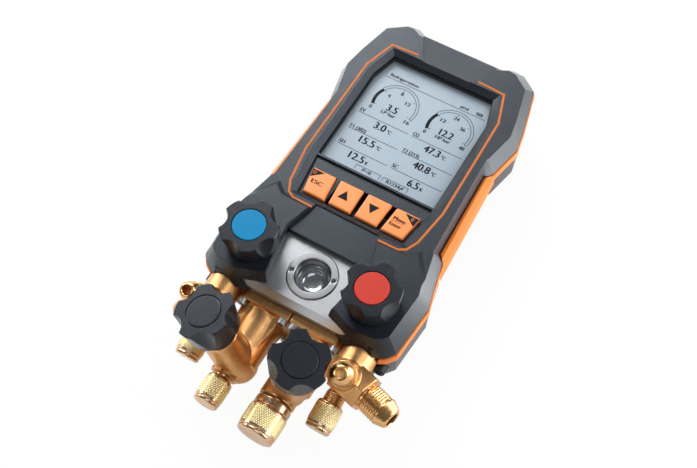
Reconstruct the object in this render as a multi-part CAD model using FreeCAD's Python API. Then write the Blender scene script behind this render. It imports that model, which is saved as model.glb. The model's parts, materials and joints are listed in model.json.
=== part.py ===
import FreeCAD, Part
import math
import os

# Digital refrigerant manifold gauge with four valves, lying on its back.
# X runs to the right, Y towards the head, Z out of the display.
# The origin is on the flat back, on the middle plane, under the lower edge of the display.

V = FreeCAD.Vector
X = V(1, 0, 0)
Y = V(0, 1, 0)
Z = V(0, 0, 1)

# Heights above the flat back
lip_z = 46.0
top_face_z = lip_z + 2.3
hip_rise = 1.9
chamfer_z = lip_z - 7.5
seam_top_z = lip_z - 9.4
seam_height = 5.2
wall_end_z = 15.0
shell_wall = 2.4
back_wall = 2.6
back_slope = 9.0
side_slope = 1.2
seam_inset = 0.6

# Widths that set the valve end of the housing
flange_inner = 0.4
flange_width = 30.2
side_barrel_radius = 9.5
cross_x = flange_inner + flange_width + side_barrel_radius + 0.4
block_half = cross_x + 5.9

# Outline of the housing at its widest edge, right half, from the head down
head_notch = (25.5, 100.3)
head_horn = (30.5, 102.8)
head_top = (37.0, 102.0)
head_corner = (46.3, 95.5)
head_side = (52.7, 70.3)
shoulder = (55.1, 57.0)
shoulder_low = (51.0, 38.0)
waist_top = (47.8, 33.0)
waist_low = (49.5, -18.5)
hip_top = (53.1, -23.0)
hip_mid = (block_half + 10.1, -38.0)
hip = (block_half + 13.1, -49.0)
hip_low = (block_half + 11.1, -78.0)
foot_corner = (block_half + 7.6, -82.5)
foot_outer = (block_half + 1.1, -86.0)
foot_inner = (34.0, -87.0)
boss_foot = (17.5, -81.0)
plate_corner = (23.8, -48.5)

# Width of the sloping edge under the top face, one value for each side of the outline
slope_top = 7.5
slope_horn = 6.5
slope_side = 4.4
slope_waist = 1.6
slope_foot = 4.6
slope_plate = 0.9

# Raised hips round the side knobs
hip_rise_base = 1.0
hip_crown = [(19.6, -31.5), (36.5, -31.0), (43.0, -26.0)]
hip_inner = (24.6, -47.6)
hip_slope_inner = 0.8
hip_slope_upper = 2.4
hip_slope_outer = 0.85

# Sunk panel at the head and channel above the valve block
head_panel_low = (14.8, 78.0)
head_panel_high = (29.6, 106.6)
head_panel_drop = 1.8
head_panel_fall = 0.267
channel_top = (19.0, -28.5)
channel_low = (24.2, -49.5)
channel_depth = 1.1

# Display and key panel
lip_top = (31.0, 75.0)
lip_shoulder = (35.6, 59.3)
lip_low = (35.5, 0.0)
key_basin_low = (32.6, -25.6)
bezel_slope = 3.4
bezel_depth = 2.3
glass_thickness = 1.2
glass_recess = 0.6
frame_height = 2.2
frame_width = 0.5
lcd_margin = 1.4
board_z = 36.0
board_thickness = 1.6
board_half = 38.0
board_top_y = 79.0
board_low_y = -30.0
board_post_x = 33.5
board_post_radius = 2.4
board_posts = [-25.0, 70.0]
trim_line_points = [(18.9, 80.4), (35.1, 79.6), (41.0, 61.6), (41.8, -1.4), (38.6, -22.6),
                    (35.6, -29.0), (31.6, -31.2), (20.0, -31.4)]
trim_width = 1.3
trim_depth = 0.7
trim_proud = 0.2
key_floor_drop = 1.5
key_count = 4
key_pitch = 17.2
key_width = 14.3
key_length = 15.5
key_centre_y = -16.6
key_fan = 0.92
key_floor_top = (35.4, -1.2)
key_height = 2.0
key_travel = 0.8
key_gap = 0.35
key_flange = 1.0
key_flange_height = 1.2
key_edge = 0.7
key_floor_height = 2.6
mat_half = 36.0
mat_top_y = -3.2
mat_low_y = -26.0
mat_thickness = 1.6

# Seam band and grip pads
band_proud = 1.1
pad_gap = 0.03
pad_end_gap = 0.8
pad_proud = 3.9
pad_facet = 2.5
pad_lean = 0.049
pad_low_y = -40.0
pad_rise = 0.5
pad_height = 13.0
pad_edge = 1.5

# Valve block, sight glass and pressure sensors
plate_z = lip_z - 2.3
block_gap = 0.3
block_front_y = -83.5
block_back_y = -46.0
block_base_z = 8.0
block_edge = 3.2
glass_y = -63.6
ring_radius = 13.6
ring_bore = 9.3
ring_depth = 6.0
ring_proud = 0.8
spanner_hole_radius = 1.2
lens_margin = 3.0
lens_thickness = 3.0
cone_depth = 9.0
cone_top_radius = 7.0
cone_floor_radius = 4.2
seat_thickness = 0.6
sensor_radius = 9.0
sensor_length = 11.0
sensor_x = 22.0
sensor_z = 24.0
rail_width = 4.0
rail_places = [14.0, 38.0]

# Knobs
knob_radius = 15.6
knob_skirt = 13.7
knob_height = 15.5
knob_lobes = 5
scoop_radius = 7.4
scoop_depth = 3.7
scoop_drop = 12.8
disc_radius = 8.85
disc_thickness = 1.4
disc_groove = 0.45
groove_depth = 0.9
stem_radius = 4.0
stem_in_knob = 8.0
gland_radius = 8.0
gland_height = 9.0
knob_pocket = 8.9
knob_pocket_depth = 4.0
side_knob = (cross_x - 4.6, -63.3)
side_knob_top = lip_z + 19.9
lower_knobs = {"refrigerant": (-27.2, -115.9), "vacuum": (26.8, -114.2)}
lower_knob_top = lip_z + 25.3
lower_knob_lean = 13.0
lobe_angle = {"low_side": 13.3, "high_side": 13.3, "refrigerant": 52.0, "vacuum": 52.0}
running_gap = 0.05

# Brass castings of the two middle valves
flange_top_z = lip_z - 10.4
flange_low_z = 7.0
flange_thickness = 4.8
flange_fillet = 3.0
barrel_x = 16.0
barrel_radius = 11.5
valve_radius = 10.2
valve_end_z = 18.0
valve_neck = 6.2
port_z = lip_z - 24.0
left_port_x = -17.0
right_port_x = 14.0
small_port_y = -126.6
large_port_y = -124.8
port_hub_wall = 2.0
passage_radius = 4.0
web_wide = (4.5, 28.5)
web_narrow = (9.0, 26.0)
web_wide_z = (12.0, 31.5)
web_narrow_z = (16.0, 30.0)
stem_bore_depth = 14.0
drill_depth = 13.0

# Side fittings
cross = (cross_x, -98.0, lip_z - 14.0)
spigot_depth = 8.0
spigot_radius = 4.6
side_port = (cross_x - 0.9, -105.2, lip_z - 19.9)
side_port_drop = 10.0
side_hub_radius = 7.4
up_fitting_tilt = 18.0
up_fitting_lean = 7.0
up_face = 18.7
up_hub_radius = 7.0
out_fitting_turn = 16.0
out_face = 14.4
out_hex = 18.6
blank_radius = 5.6
blank_turn = 43.0
blank_reach = 15.5

# Flare fittings: thread radius, nose radius, bore radius, thread length, nose length
small_flare = {"thread": 5.56, "nose": 3.4, "bore": 2.7, "length": 9.5, "cone": 4.6}
side_flare = {"thread": 5.56, "nose": 3.4, "bore": 2.7, "length": 15.0, "cone": 4.6}
large_flare = {"thread": 7.94, "nose": 5.2, "bore": 4.4, "length": 12.5, "cone": 5.4}
small_cap = {"radius": 7.0, "length": 15.5, "collar": 0.0}
large_cap = {"radius": 10.3, "length": 20.0, "collar": 4.2}
cap_wall = 1.6
cap_gap = 0.12
seal_thickness = 1.2
seat_gap = 0.3

# Screws
flange_screw_radius = 1.5
flange_screw_head = 2.75
flange_screw_height = 3.0
flange_screw_length = 9.0
flange_screw_inset = 2.9
hex_socket = 2.5
case_screws = [(33.5, 84.5), (40.6, 56.0), (38.0, -37.0)]
case_screw_radius = 1.4
case_screw_head = 2.8
case_screw_sink = 6.0
case_screw_top = 41.0
post_radius = 3.4

# Batteries, cover and hook on the back
cell_radius = 7.1
cell_length = 50.0
cell_count = 4
cell_pitch = 14.6
bay_gap = 0.3
cover_thickness = 1.8
cover_recess = 0.6
cover_margin = 3.0
contact_thickness = 0.5
bay_wall = 1.8
hook_y = 84.0
hook_z = 3.0
hook_half = 10.5
hook_length = 26.0
hook_bar = 3.4
hook_thickness = 2.8
hook_barrel = 2.6
hook_mouth = 7.0
hook_pin_radius = 1.5
hook_pin_half = 13.0
hook_gap = 0.6
hook_to_cover = 1.7
bay_y = (hook_y - hook_length - 2 * hook_gap - hook_to_cover
         - cell_length / 2 - 2 * bay_gap - contact_thickness - cover_margin)
socket_x = block_half + 4.8
socket_z = lip_z - 21.8
socket_radius = 3.4
socket_proud = 2.0
socket_depth = 8.0

OUTLINE = [head_notch, head_horn, head_top, head_corner, head_side, shoulder, shoulder_low,
           waist_top, waist_low, hip_top, hip_mid, hip, hip_low, foot_corner, foot_outer,
           foot_inner, boss_foot, plate_corner]
SLOPES = [slope_horn, slope_top, slope_top, slope_side, slope_side, slope_side, slope_side,
          slope_waist, slope_side, slope_side, slope_side, slope_side, slope_foot, slope_foot,
          slope_foot, slope_foot, slope_plate, slope_plate]
REAR_OUTLINE = OUTLINE[:15]


def both_sides(right_half):
    left = [(-x, y) for x, y in reversed(right_half)]
    return list(right_half) + left


def closed_insets(right_half, first):
    # Insets of the edges of the whole outline, from those of its right half
    return list(right_half) + list(reversed(right_half[:-1])) + [first]


def inset(points, amounts):
    # Each edge moves inwards by its own amount, and the corners follow
    count = len(points)
    area = 0.0
    for i in range(count):
        x0, y0 = points[i]
        x1, y1 = points[(i + 1) % count]
        area += x0 * y1 - x1 * y0
    side = 1.0 if area > 0 else -1.0
    moved = []
    for i in range(count):
        before = edge_line(points[i - 1], points[i], amounts[i - 1], side)
        after = edge_line(points[i], points[(i + 1) % count], amounts[i], side)
        moved.append(crossing(before, after))
    return moved


def edge_line(start, end, amount, side):
    dx = end[0] - start[0]
    dy = end[1] - start[1]
    length = math.hypot(dx, dy)
    nx = -dy / length * side
    ny = dx / length * side
    return (start[0] + nx * amount, start[1] + ny * amount, dx / length, dy / length)


def crossing(a, b):
    ax, ay, adx, ady = a
    bx, by, bdx, bdy = b
    turn = adx * bdy - ady * bdx
    if abs(turn) < 1e-6:
        return (bx, by)
    t = ((bx - ax) * bdy - (by - ay) * bdx) / turn
    return (ax + adx * t, ay + ady * t)


def wire(points, z):
    corners = [V(x, y, z) for x, y in points]
    return Part.makePolygon(corners + [corners[0]])


def prism(points, z0, z1):
    return Part.Face(wire(points, z0)).extrude(V(0, 0, z1 - z0))


def taper(sections):
    # Solid with flat sides through outlines with the same number of corners, each with its height
    rings = [[V(x, y, z) for x, y in points] for points, z in sections]
    faces = [polygon(rings[0]), polygon(rings[-1])]
    for low, high in zip(rings, rings[1:]):
        for i in range(len(low)):
            j = (i + 1) % len(low)
            faces += side_faces(low[i], low[j], high[j], high[i])
    return Part.Solid(Part.makeShell(faces)).removeSplitter()


def polygon(corners):
    return Part.Face(Part.makePolygon(corners + [corners[0]]))


def side_faces(a, b, c, d):
    # One flat face, or two triangles where the four corners are not in one plane
    normal = (b - a).cross(d - a)
    if abs(normal.dot(c - a)) < 1e-4 * normal.Length:
        return [polygon([a, b, c, d])]
    return [polygon([a, b, c]), polygon([a, c, d])]


def box(x0, x1, y0, y1, z0, z1):
    return Part.makeBox(x1 - x0, y1 - y0, z1 - z0, V(x0, y0, z0))


def rod(start, direction, radius, length):
    return Part.makeCylinder(radius, length, start, direction)


def tube(start, direction, outer, inner, length):
    return rod(start, direction, outer, length).cut(rod(start, direction, inner, length))


def turned_profile(pairs):
    # Solid of revolution about Z from a closed list of (radius, height)
    corners = [V(r, 0, z) for r, z in pairs]
    face = Part.Face(Part.makePolygon(corners + [corners[0]]))
    return face.revolve(V(0, 0, 0), Z, 360)


def placed(shape, position, direction):
    moved = shape.copy()
    moved.Placement = FreeCAD.Placement(position, FreeCAD.Rotation(Z, direction))
    return moved


def hexagon(across_flats, length):
    radius = across_flats / math.sqrt(3)
    corners = [(radius * math.cos(math.radians(60 * i)), radius * math.sin(math.radians(60 * i)))
               for i in range(6)]
    return prism(corners, 0, length)


# Directions of the fittings and knobs
def lower_knob_axis(side):
    lean = math.radians(lower_knob_lean)
    return V(side * math.sin(lean), 0, math.cos(lean))


def up_axis(side):
    axis = V(side * math.tan(math.radians(up_fitting_lean)), -math.tan(math.radians(up_fitting_tilt)), 1)
    return axis.normalize()


def out_axis(side):
    turn = math.radians(out_fitting_turn)
    return V(side * math.cos(turn), -math.sin(turn), 0)


def side_port_axis():
    drop = math.radians(side_port_drop)
    return V(0, -math.cos(drop), -math.sin(drop))


def knob_places():
    left_x, left_y = lower_knobs["refrigerant"]
    right_x, right_y = lower_knobs["vacuum"]
    return {
        "low_side": (V(-side_knob[0], side_knob[1], side_knob_top), Z),
        "high_side": (V(side_knob[0], side_knob[1], side_knob_top), Z),
        "refrigerant": (V(left_x, left_y, lower_knob_top), lower_knob_axis(-1)),
        "vacuum": (V(right_x, right_y, lower_knob_top), lower_knob_axis(1)),
    }


# Front shell
def belt_outline():
    return both_sides(OUTLINE)


def rim_outline():
    return inset(belt_outline(), closed_insets(SLOPES, slope_top))


def seam_outline():
    points = belt_outline()
    return inset(points, [seam_inset] * len(points))


def basin_floor():
    return both_sides([lip_top, lip_shoulder, lip_low, key_basin_low])


def basin_cut():
    floor = basin_floor()
    rim = inset(floor, [-bezel_slope] * len(floor))
    return taper([(floor, lip_z - 0.01), (rim, top_face_z + 0.01)])


def head_panel_cut():
    x0, y0 = head_panel_low
    x1, y1 = head_panel_high
    low = [(-x0, y0), (x0, y0), (x1, y1), (-x1, y1)]
    corners = [V(x, y, top_face_z - head_panel_drop - (y - y0) * head_panel_fall) for x, y in low]
    floor = Part.makePolygon(corners + [corners[0]])
    roof = wire(low, top_face_z + hip_rise)
    return Part.makeLoft([floor, roof], True, True)


def hip_plateau(side):
    # Its outer sides go on from the sloping edge of the housing
    rim = rim_outline()
    first = OUTLINE.index(hip_mid)
    last = OUTLINE.index(boss_foot)
    edge = rim[first:last + 1]
    base = [(x * side, y) for x, y in hip_crown + edge + [hip_inner]]
    amounts = ([hip_slope_upper] * len(hip_crown) + [hip_slope_outer] * (len(edge) - 1)
               + [hip_slope_inner] * 2)
    top = inset(base, amounts)
    return taper([(base, top_face_z - hip_rise_base), (base, top_face_z), (top, top_face_z + hip_rise)])


def centre_channel():
    x0, y0 = channel_top
    x1, y1 = channel_low
    outline = [(-x0, y0), (x0, y0), (x1, y1), (-x1, y1)]
    return prism(outline, top_face_z - channel_depth, top_face_z + 2 * hip_rise)


def trim_path(side):
    # Middle line of the coloured line beside the display
    return [(x * side, y) for x, y in trim_line_points]


def ribbon(points, width, z0, z1):
    left = []
    right = []
    for i, (x, y) in enumerate(points):
        before = points[max(i - 1, 0)]
        after = points[min(i + 1, len(points) - 1)]
        first = unit((x - before[0], y - before[1]), (after[0] - x, after[1] - y))
        second = unit((after[0] - x, after[1] - y), (x - before[0], y - before[1]))
        nx = -(first[1] + second[1]) / 2
        ny = (first[0] + second[0]) / 2
        scale = width / 2 / (nx * nx + ny * ny)
        left.append((x + nx * scale, y + ny * scale))
        right.append((x - nx * scale, y - ny * scale))
    return prism(left + list(reversed(right)), z0, z1)


def unit(vector, otherwise):
    length = math.hypot(*vector)
    if length < 1e-9:
        return unit(otherwise, otherwise)
    return (vector[0] / length, vector[1] / length)


def key_outline(index, grow=0.0):
    # The row of keys narrows towards its lower edge
    centre = (index - (key_count - 1) / 2) * key_pitch
    half = key_width / 2
    y1 = key_centre_y + key_length / 2
    y0 = key_centre_y - key_length / 2
    points = [((centre - half) * key_fan, y0), ((centre + half) * key_fan, y0),
              (centre + half, y1), (centre - half, y1)]
    return inset(points, [-grow] * 4)


def bezel_window():
    return both_sides([lip_top, lip_shoulder, lip_low])


def key_floor_outline():
    return both_sides([key_floor_top, key_basin_low])


def front_shell():
    belt = belt_outline()
    outer = taper([(seam_outline(), seam_top_z), (belt, chamfer_z), (rim_outline(), top_face_z)])
    outer = outer.fuse([hip_plateau(1), hip_plateau(-1)])
    wall = [shell_wall] * len(belt)
    inner_low = inset(seam_outline(), wall)
    inner_top = inset(rim_outline(), wall)
    inner = taper([(inner_low, seam_top_z - 0.1), (inset(belt, [shell_wall + 0.4] * len(belt)), chamfer_z - 1.0),
                   (inner_top, top_face_z - shell_wall - 4.0)])
    shell = outer.cut(inner)
    shell = shell.cut([head_panel_cut(), basin_cut(), centre_channel()])
    window = prism(bezel_window(), seam_top_z, lip_z + 1)
    shell = shell.cut(window)
    floor = prism(key_floor_outline(), lip_z - key_floor_drop - key_floor_height, lip_z - key_floor_drop)
    pocket = prism(key_floor_outline(), lip_z - key_floor_drop - 0.01, lip_z + 1)
    shell = shell.cut(pocket).fuse(floor)
    for index in range(key_count):
        shell = shell.cut(prism(key_outline(index, key_gap), seam_top_z, top_face_z))
    for side in (-1, 1):
        shell = shell.cut(ribbon(trim_path(side), trim_width + 0.1, top_face_z - trim_depth, top_face_z + 4))
        hole = rod(V(side * side_knob[0], side_knob[1], seam_top_z), Z, gland_radius + 0.5, 20)
        shell = shell.cut(hole)
        shell = shell.cut(barrel_passage(side))
        for x, y in case_screws:
            shell = shell.fuse(rod(V(side * x, y, seam_top_z), Z, post_radius, case_screw_top + 1.5 - seam_top_z))
            shell = shell.cut(rod(V(side * x, y, seam_top_z), Z, case_screw_radius, case_screw_top - seam_top_z))
    shell = shell.cut(block_room())
    return shell.removeSplitter()


def barrel_passage(side):
    return rod(V(side * cross[0], foot_inner[1] - 5, cross[2]), Y, side_barrel_radius + 0.5, 20)


def block_room():
    half = block_half + block_gap
    return box(-half, half, block_front_y - block_gap, block_back_y + block_gap, block_base_z, plate_z + block_gap)


# Rear shell and what is on the back
def rear_outline(amount):
    points = both_sides(REAR_OUTLINE)
    return inset(points, [amount] * len(points))


def seam_low_z():
    return seam_top_z - seam_height


def bay_half_x():
    return (cell_count - 1) / 2 * cell_pitch + cell_radius + bay_gap


def bay_half_y():
    return cell_length / 2 + 2 * bay_gap + contact_thickness


def cell_z():
    return cover_recess + cover_thickness + bay_gap + cell_radius


def cover_half():
    return (bay_half_x() + cover_margin, bay_half_y() + cover_margin)


def hook_pocket():
    return box(-hook_half - hook_gap, hook_half + hook_gap, hook_y - hook_length - 2 * hook_gap,
               head_notch[1], -1, hook_z + hook_barrel + 0.3)


def rear_shell():
    low = seam_low_z()
    outer = taper([(rear_outline(back_slope), 0), (rear_outline(side_slope), wall_end_z),
                   (rear_outline(seam_inset), low)])
    inner = taper([(rear_outline(back_slope + 0.8), back_wall), (rear_outline(side_slope + shell_wall), wall_end_z),
                   (rear_outline(seam_inset + shell_wall), low + 0.1)])
    shell = outer.cut(inner)
    bx = bay_half_x()
    by = bay_half_y()
    cx, cy = cover_half()
    roof = cell_z() + cell_radius + bay_gap
    pocket = hook_pocket().BoundBox
    inside = [box(-bx - bay_wall, bx + bay_wall, bay_y - by - bay_wall, bay_y + by + bay_wall, 0, roof + bay_wall),
              box(-cx - 2, cx + 2, bay_y - cy - 2, bay_y + cy + 2, 0, cover_recess + cover_thickness + 2),
              box(-hook_pin_half - 1.5, hook_pin_half + 1.5, pocket.YMin - 1.8, pocket.YMax - 10, 0, pocket.ZMax + 1.8)]
    cuts = [hook_pocket(),
            box(-bx, bx, bay_y - by, bay_y + by, -1, roof),
            box(-cx - bay_gap, cx + bay_gap, bay_y - cy - bay_gap, bay_y + cy + bay_gap,
                -1, cover_recess + cover_thickness),
            rod(V(-hook_pin_half, hook_y, hook_z), X, hook_pin_radius, 2 * hook_pin_half),
            casting_room(), block_room()]
    for side in (-1, 1):
        for x in rail_places:
            inside.append(box(side * x - rail_width / 2, side * x + rail_width / 2, block_front_y + 7, block_back_y - 2,
                              1, block_base_z))
        for y in board_posts:
            inside.append(rod(V(side * board_post_x, y, 1), Z, board_post_radius, board_z - 1))
        for x, y in case_screws:
            inside.append(rod(V(side * x, y, 0), Z, post_radius, low))
            cuts.append(rod(V(side * x, y, -1), Z, case_screw_head + 0.2, case_screw_sink + 1))
            cuts.append(rod(V(side * x, y, 0), Z, case_screw_radius + 0.2, low))
        cuts.append(barrel_passage(side))
        cuts.append(rod(V(side * socket_x, foot_outer[1] - 2, socket_z), Y, socket_radius, 14))
    return shell.fuse(inside).cut(cuts).removeSplitter()


def casting_room():
    half = flange_width + flange_inner + 0.8
    return box(-half, half, foot_inner[1] - 5, block_front_y + 4, flange_low_z - 2, seam_top_z + 20)


def battery_cover():
    cx, cy = cover_half()
    plate = box(-cx, cx, bay_y - cy, bay_y + cy, cover_recess, cover_recess + cover_thickness - 0.05)
    for i in range(5):
        y = bay_y + cy - 12 + 1.8 * i
        plate = plate.cut(box(-9, 9, y, y + 0.9, cover_recess - 1, cover_recess + 0.5))
    edges = [edge for edge in plate.Edges if abs(edge.tangentAt(edge.FirstParameter).z) > 0.99
             and abs(abs(edge.BoundBox.XMax) - cx) < 0.01]
    return plate.makeFillet(2.0, edges)


def battery_cells():
    cells = []
    for i in range(cell_count):
        x = (i - (cell_count - 1) / 2) * cell_pitch
        start = V(x, bay_y - cell_length / 2, cell_z())
        body = rod(start, Y, cell_radius, cell_length - 1.2)
        tip = rod(V(x, bay_y + cell_length / 2 - 1.2, cell_z()), Y, 2.7, 1.2)
        cells.append(body.fuse(tip))
    return Part.makeCompound(cells)


def battery_contacts():
    plates = []
    reach = bay_half_y()
    for i in range(cell_count):
        x = (i - (cell_count - 1) / 2) * cell_pitch
        for y in (bay_y - reach, bay_y + reach - contact_thickness):
            plates.append(box(x - 4.5, x + 4.5, y, y + contact_thickness, cell_z() - 5, cell_z() + 5))
    return Part.makeCompound(plates)


def hanging_hook():
    low = hook_y - hook_length
    z0 = hook_z - hook_thickness / 2
    outer = prism([(-hook_half, hook_y), (-hook_half, low + 5), (-hook_half + 5, low), (hook_half - 5, low),
                   (hook_half, low + 5), (hook_half, hook_y)], z0, z0 + hook_thickness)
    half = hook_half - hook_bar
    window = prism([(-half, hook_y - hook_barrel - 3), (-half, low + hook_bar + 2.5), (-half + 2.5, low + hook_bar),
                    (half - 2.5, low + hook_bar), (half, low + hook_bar + 2.5), (half, hook_y - hook_barrel - 3)],
                   z0 - 1, z0 + hook_thickness + 1)
    mouth = box(half - 1, hook_half + 1, hook_y - hook_barrel - 3 - hook_mouth, hook_y - hook_barrel - 3,
                z0 - 1, z0 + hook_thickness + 1)
    barrel = rod(V(-hook_half, hook_y, hook_z), X, hook_barrel, 2 * hook_half)
    bore = rod(V(-hook_half - 1, hook_y, hook_z), X, hook_pin_radius + running_gap, 2 * hook_half + 2)
    return outer.cut([window, mouth]).fuse(barrel).cut(bore).removeSplitter()


def hook_pin():
    return rod(V(-hook_pin_half, hook_y, hook_z), X, hook_pin_radius, 2 * hook_pin_half)


def case_screw_set():
    screws = []
    for side in (-1, 1):
        for x, y in case_screws:
            shank = rod(V(side * x, y, case_screw_sink), Z, case_screw_radius, case_screw_top - case_screw_sink)
            head = rod(V(side * x, y, case_screw_sink - 2.2), Z, case_screw_head, 2.2)
            slot = placed(hexagon(2.2, 1.4), V(side * x, y, case_screw_sink - 2.3), Z)
            screws.append(shank.fuse(head).cut(slot))
    return Part.makeCompound(screws)


def probe_socket(side):
    y = foot_corner[1] - 1.4 - socket_proud
    body = rod(V(side * socket_x, y, socket_z), Y, socket_radius, socket_depth)
    rim = Part.makeCone(socket_radius - 0.9, socket_radius, 0.9, V(side * socket_x, y - 0.9, socket_z), Y)
    dish = rod(V(side * socket_x, y - 1, socket_z), Y, socket_radius - 1.7, 1.3)
    return body.fuse(rim).cut(dish)


def seam_band():
    band = prism(rear_outline(seam_inset - band_proud), seam_low_z(), seam_top_z)
    band = band.cut(prism(rear_outline(seam_inset + shell_wall), seam_low_z() - 1, seam_top_z + 1))
    open_half = cross[0] + side_barrel_radius + 0.5
    band = band.cut(box(-open_half, open_half, foot_inner[1] - 5, foot_corner[1] + 6, 0, 60))
    for side in (-1, 1):
        for x, y in case_screws:
            band = band.cut(rod(V(side * x, y, 0), Z, post_radius + 0.2, 60))
    return band


def grip_pad(side):
    # Straight bar that fills the waist, from the step under the shoulder to the swell of the hip
    top = chamfer_z + pad_rise
    low = chamfer_z + pad_rise - pad_height
    levels = [(top, pad_proud - pad_facet), (top - pad_facet, pad_proud),
              (low + pad_edge, pad_proud), (low, pad_proud - pad_edge)]
    sections = [([(x * side, y) for x, y in pad_outline(reach)], z) for z, reach in levels]
    room = prism(rear_outline(seam_inset - band_proud - pad_gap), low - 1, top + 1)
    return taper(sections).cut(room)


def pad_outline(reach):
    x, y = waist_top
    end_y = y - pad_end_gap
    climb = (shoulder_low[1] - y) / (shoulder_low[0] - x)
    low_x = x + reach + pad_lean * (end_y - pad_low_y)
    return [(x - pad_proud, end_y - climb * pad_proud), (x - pad_proud, pad_low_y),
            (low_x, pad_low_y), (x + reach, end_y + climb * reach)]


# Display, keys and electronics
def trim_line(side):
    return ribbon(trim_path(side), trim_width, top_face_z - trim_depth, top_face_z + trim_proud)


def display_window():
    outline = inset(bezel_window(), [0.1] * 6)
    return prism(outline, lip_z - glass_recess - glass_thickness, lip_z - glass_recess)


def display_frame():
    top = lip_z - glass_recess - glass_thickness
    outer = prism(inset(bezel_window(), [0.1] * 6), top - frame_height, top)
    inner = prism(inset(bezel_window(), [0.1 + frame_width] * 6), top - frame_height - 1, top + 1)
    return outer.cut(inner)


def lcd_top():
    return lip_z - glass_recess - glass_thickness - frame_height


def lcd_panel():
    outline = inset(bezel_window(), [-lcd_margin] * 6)
    top = min(lcd_top(), top_face_z - shell_wall - 4.0)
    return prism(outline, board_z + board_thickness, top - 0.05)


def circuit_board():
    board = box(-board_half, board_half, board_low_y, board_top_y, board_z, board_z + board_thickness)
    for side in (-1, 1):
        for x, y in case_screws:
            board = board.cut(rod(V(side * x, y, 0), Z, post_radius + 0.4, 60))
    return board


def keypad_mat():
    z0 = board_z + board_thickness
    return box(-mat_half, mat_half, mat_low_y, mat_top_y, z0, z0 + mat_thickness)


def key_top_z():
    return lip_z - key_floor_drop + key_height


def key(index):
    under = lip_z - key_floor_drop - key_floor_height
    outline = key_outline(index)
    body = prism(outline, under - 1.4, key_top_z() - key_edge)
    crown = taper([(outline, key_top_z() - key_edge), (inset(outline, [key_edge] * 4), key_top_z())])
    flange = prism(key_outline(index, key_flange), under - key_gap - key_flange_height, under - key_gap)
    return body.fuse([crown, flange]).removeSplitter()


# Valve block, sight glass and sensors
def valve_block():
    block = box(-block_half, block_half, block_front_y, block_back_y, block_base_z, plate_z)
    bevel = Part.Face(Part.makePolygon([V(-block_half - 1, block_front_y, plate_z - block_edge),
                                        V(-block_half - 1, block_front_y + block_edge, plate_z + 0.01),
                                        V(-block_half - 1, block_front_y - 1, plate_z + 1),
                                        V(-block_half - 1, block_front_y, plate_z - block_edge)]))
    block = block.cut(bevel.extrude(V(2 * block_half + 2, 0, 0)))
    well = rod(V(0, glass_y, plate_z - ring_depth), Z, ring_radius + 0.1, ring_depth + 1)
    seat_z = plate_z - ring_depth - lens_thickness - seat_thickness
    seat = rod(V(0, glass_y, seat_z), Z, lens_radius() + 0.1, lens_thickness + seat_thickness + 1)
    cone = Part.makeCone(cone_floor_radius, cone_top_radius, cone_depth, V(0, glass_y, seat_z - cone_depth), Z)
    block = block.cut([well, seat, cone])
    for side in (-1, 1):
        bore = rod(V(side * side_knob[0], side_knob[1], plate_z - stem_bore_depth), Z,
                   stem_radius + running_gap, stem_bore_depth + 1)
        spigot = rod(V(side * cross[0], block_front_y - 1, cross[2]), Y, spigot_radius + 0.1, spigot_depth + 1)
        port = rod(V(side * (flange_inner + flange_width / 2), block_front_y - 1, port_z), Y, passage_radius, 9.0)
        block = block.cut([bore, spigot, port])
        for x, z in flange_screw_places(side):
            block = block.cut(rod(V(x, block_front_y - 1, z), Y, flange_screw_radius, flange_screw_length))
    return block


def lens_radius():
    return ring_radius - lens_margin


def sight_glass_ring():
    top = plate_z + ring_proud
    low = plate_z - ring_depth
    ring = turned_profile([(ring_bore, low), (ring_radius, low), (ring_radius, top - 0.5), (ring_radius - 0.5, top),
                           (ring_bore + 0.6, top), (ring_bore, top - 0.6)])
    middle = (ring_radius + ring_bore) / 2
    for angle in (12, 192):
        x = middle * math.cos(math.radians(angle))
        y = middle * math.sin(math.radians(angle))
        ring = ring.cut(rod(V(x, y, top - 2.2), Z, spanner_hole_radius, 3))
    ring.translate(V(0, glass_y, 0))
    return ring


def sight_glass_lens():
    low = plate_z - ring_depth - lens_thickness
    return rod(V(0, glass_y, low), Z, lens_radius(), lens_thickness)


def sight_glass_seal():
    low = plate_z - ring_depth - lens_thickness - seat_thickness
    return tube(V(0, glass_y, low), Z, lens_radius(), lens_radius() - 1.0, seat_thickness)


def pressure_sensor(side):
    start = V(side * sensor_x, block_back_y, sensor_z)
    body = rod(start, Y, sensor_radius, sensor_length - 4)
    neck = rod(start, Y, sensor_radius - 3.5, sensor_length)
    return body.fuse(neck)


# Valves and knobs
def knob(first_lobe):
    # Top face at the origin, axis along Z, one lobe in the given direction
    base = -knob_height
    body = turned_profile([(0, 0), (knob_radius - 0.5, 0), (knob_radius, -0.5), (knob_skirt, base + 2.0),
                           (knob_skirt, base + 0.4), (knob_skirt - 0.4, base), (0, base)])
    tilt = math.atan2(knob_skirt - knob_radius + scoop_depth, scoop_drop)
    for i in range(knob_lobes):
        angle = math.radians(first_lobe + 360 / knob_lobes * (i + 0.5))
        outward = V(math.cos(angle), math.sin(angle), 0)
        axis = outward * math.sin(tilt) - Z * math.cos(tilt)
        centre = outward * (knob_radius - scoop_depth + scoop_radius)
        body = body.cut(rod(centre - axis * 6, axis, scoop_radius, knob_height + 14))
    body = body.cut(rod(V(0, 0, -disc_thickness), Z, disc_radius, disc_thickness + 1))
    body = body.cut(tube(V(0, 0, -groove_depth), Z, disc_radius + disc_groove, disc_radius - 0.1, groove_depth + 1))
    body = body.cut(rod(V(0, 0, base - 1), Z, knob_pocket, knob_pocket_depth + 1))
    body = body.cut(rod(V(0, 0, base - 1), Z, stem_radius, knob_pocket_depth + stem_in_knob + 1))
    return body.removeSplitter()


def knob_disc():
    return turned_profile([(0, 0), (disc_radius - 0.25, 0), (disc_radius, -0.25), (disc_radius, -disc_thickness),
                           (0, -disc_thickness)])


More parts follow.
